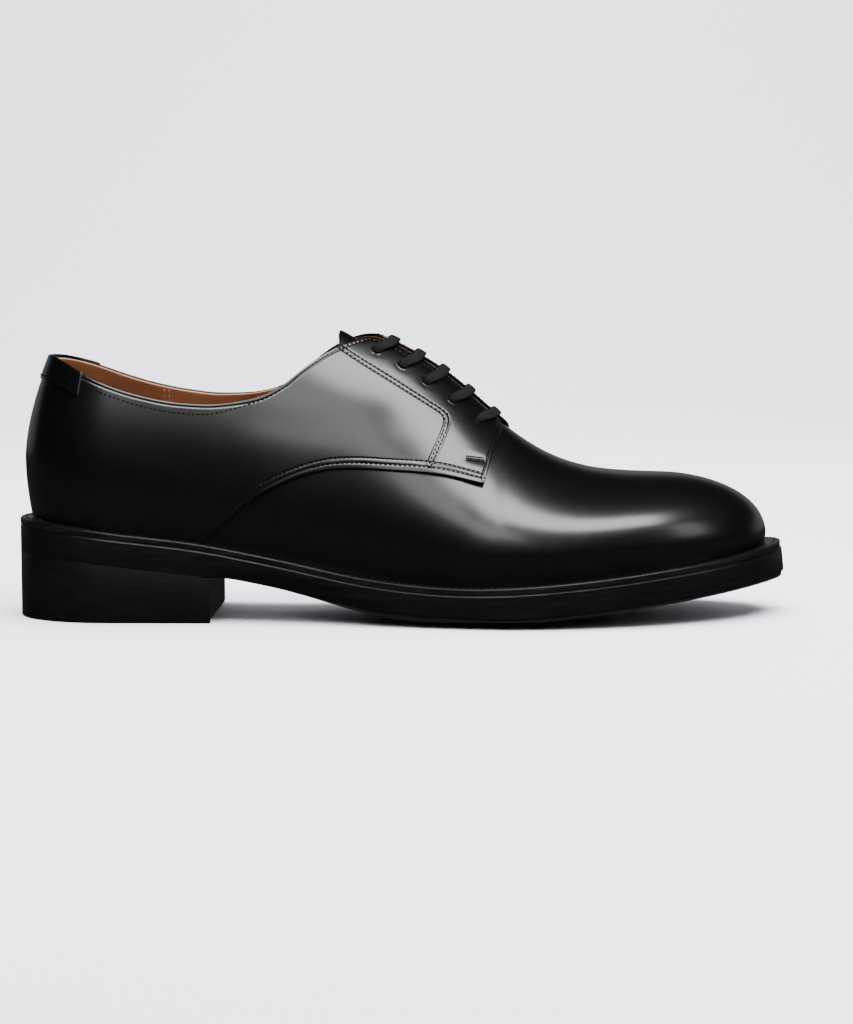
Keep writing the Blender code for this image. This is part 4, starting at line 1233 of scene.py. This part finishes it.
def makeHeel():
    xs = [x for x in spaced(form["soleBack"], form["soleTip"], *soleSizes["steps"]) if x <= form["breastX"]]
    breast = form["breastX"]
    arris = soleSizes["heelArris"]
    rings = []
    for x in xs:
        outerY = planY("sole", outer, x, form["soleBack"], form["soleTip"])
        innerY = planY("sole", inner, x, form["soleBack"], form["soleTip"])
        top = []
        wall = []
        floor = []
        for part in np.linspace(0, 1, 9):
            y = outerY + (innerY - outerY) * part
            hollow = soleSizes["heelHollow"] * (1 - (2 * part - 1) ** 2) * (x / breast) ** 4
            px = x - hollow
            bottomY = y * (1 - soleSizes["heelTaper"] / breast)
            floorY = bottomY * (1 - arris / abs(outerY)) if outerY else bottomY
            top.append((px, y, soleAt["tread"](x) - soleSizes["heelGap"]))
            floor.append((px + arris * (1 - 2 * x / breast), floorY, 0.0))
            wall.append((px, bottomY, arris))
        rings.append(top + [wall[-1]] + floor[::-1] + [wall[0]])
    piece = loft("heelStack", rings)
    piece.data.materials.append(inkedHeel)
    softEdges(piece, soleSizes["heelSoft"])
    finished(piece, "heel")


def footPoint(side, x, inward):
    return onLast(section(side, x), -1.0, inward)


def makeWelt():
    loop = outlineOf("sole", form["soleBack"], form["soleTip"])
    xs = spaced(form["lastBack"], form["lastTip"], *soleSizes["steps"])
    outerLine = [footPoint(outer, x, soleSizes["weltUnder"]) for x in xs]
    innerLine = [footPoint(inner, x, soleSizes["weltUnder"]) for x in xs]
    inside = np.array(outerLine + innerLine[-2:0:-1])
    arris = insetLine(loop, np.full(len(loop), soleSizes["weltArris"]))
    points = []
    for edge, soft, under in zip(loop, arris, inside):
        top, low = weltTop(edge[0]), weltTop(edge[0]) - soleSizes["weltThick"]
        near = weltTop(under[0])
        points += [
            (soft[0], soft[1], top), (edge[0], edge[1], top - soleSizes["weltArris"]),
            (edge[0], edge[1], low), (under[0], under[1], near - soleSizes["weltThick"]),
            (under[0], under[1], near),
        ]
    faces = []
    count = len(loop)
    for k in range(count):
        for i in range(5):
            j = (i + 1) % 5
            n = (k + 1) % count
            faces.append((k * 5 + i, k * 5 + j, n * 5 + j, n * 5 + i))
    piece = meshPiece("weltStrip", points, faces)
    turnOut(piece)
    piece.data.materials.append(inkedWelt)
    softEdges(piece, soleSizes["weltSoft"])
    finished(piece, "welt")
    row = insetLine(loop, np.full(len(loop), soleSizes["stitchIn"]))
    row = np.vstack([row, row[:1]])
    line = [(p[0], p[1], weltTop(p[0]) + soleSizes["stitchProud"]) for p in row]
    sewing = sewn(
        "weltStitches", [line], soleSizes["stitchPitch"], soleSizes["stitchLength"],
        soleSizes["stitchThread"], blackThread,
    )
    finished(sewing, "welt")
    print("welt made")


def makeSock():
    rings = []
    for x in spaced(form["lastBack"], form["lastTip"], *soleSizes["steps"]):
        a = footPoint(outer, x, soleSizes["sockInset"])
        b = footPoint(inner, x, soleSizes["sockInset"])
        row = []
        for part in np.linspace(0, 1, 7):
            p = a + (b - a) * part
            row.append((p[0], p[1], weltTop(p[0]) + soleSizes["sockProud"]))
        row += [(p[0], p[1], weltTop(p[0]) - soleSizes["sockUnder"]) for p in (b, a)]
        rings.append(row)
    piece = loft("sock", rings)
    piece.data.materials.append(tanLining)
    settle(piece, 40)
    finished(piece, "insole")


# Floor and studio light, in metres and watts.
studio = {"floor": (0.80, 0.792, 0.85), "mirror": 0.05, "rim": 0.3, "world": 0.002}
shoeMiddle = (0.12, 0, 0.05)
lamps = (  # name, place, aim, size, power, and whether the leather mirrors it
    ("roomLight", (0.2, 0.2, 2.2), (0.2, 0.15, 0), (2.4, 2.4), 143.0, False),
    ("wallLight", (0.2, 0.2, 1.9), (0.2, 2.4, 0.7), (2.4, 0.8), 128.0, False),
    ("keyBox", (0.32, -0.52, 1.0), shoeMiddle, (1.1, 0.42), 25.0, True),
    ("sideBox", (1.2, -0.5, 0.6), shoeMiddle, (0.3, 0.5), 1.6, True),
    ("leftBox", (-0.02, -0.95, 0.66), shoeMiddle, (0.45, 0.25), 1.8, True),
)
room = {"sides": (-3.0, 3.2), "front": -3.0, "bend": 1.4, "bendR": 1.2, "top": 3.5}


def stagePiece(name, profile, finish):
    points = [(x, y, z) for y, z in profile for x in room["sides"]]
    faces = [(2 * k, 2 * k + 1, 2 * k + 3, 2 * k + 2) for k in range(len(profile) - 1)]
    mesh = bpy.data.meshes.new(name)
    mesh.from_pydata(points, [], faces)
    mesh.materials.append(finish)
    mesh.shade_smooth()
    piece = newObject(name, mesh)
    return piece


def makeStage():
    paper = newMaterial("palePaper", studio["floor"], 0.8)[0]
    bend, radius = room["bend"], room["bendR"]
    floor = stagePiece("paleFloor", [(room["front"], 0.0), (bend, 0.0)], paper)
    floor.visible_glossy = False  # the photo's leather mirrors no bright floor in front of it
    sweep = [(bend + radius * math.sin(a), radius - radius * math.cos(a))
             for a in np.linspace(0, math.pi / 2, 14)]
    wall = stagePiece("paleWall", sweep + [(bend + radius, room["top"])], paper)
    wall.visible_glossy = False
    # These two glow and only reflections see them: painted reflections of the floor near the shoe and of a
    # band of the far wall.
    for name, profile, glow in (
        ("mirroredFloor", [(-0.4, -0.003), (0.5, -0.003)], studio["mirror"]),
        ("mirroredWall", [(1.3, 0.02), (1.3, 0.55)], studio["rim"]),
    ):
        finish, _, shader = newMaterial(name, (0, 0, 0), 1.0)
        shader.inputs["Emission Color"].default_value = (1, 1, 1, 1)
        shader.inputs["Emission Strength"].default_value = glow
        mirrored = stagePiece(name, profile, finish)
        mirrored.visible_camera = False
        mirrored.visible_diffuse = False
        mirrored.visible_shadow = False


def areaLight(name, spot, aim, size, power, mirrored):
    data = bpy.data.lights.new(name, "AREA")
    data.shape = "RECTANGLE"
    data.size, data.size_y = size
    data.energy = power
    lamp = newObject(name, data)
    lamp.location = spot
    lamp.visible_glossy = mirrored
    lamp.rotation_euler = (Vector(aim) - Vector(spot)).to_track_quat("-Z", "Y").to_euler()


def makeLight():
    for lamp in lamps:
        areaLight(*lamp)
    world = bpy.data.worlds.new("paleRoom")
    bpy.context.scene.world = world
    world.use_nodes = True
    back = world.node_tree.nodes["Background"]
    back.inputs["Color"].default_value = (0.93, 0.94, 1.0, 1)
    back.inputs["Strength"].default_value = studio["world"]


makeStage()
makeLight()
makeOutsole()
makeHeel()
makeWelt()
makeSock()
print("sole, heel and sock made")
quarters = makeUpper()
makeStitches(quarters)
makeTongue()
makeLace()
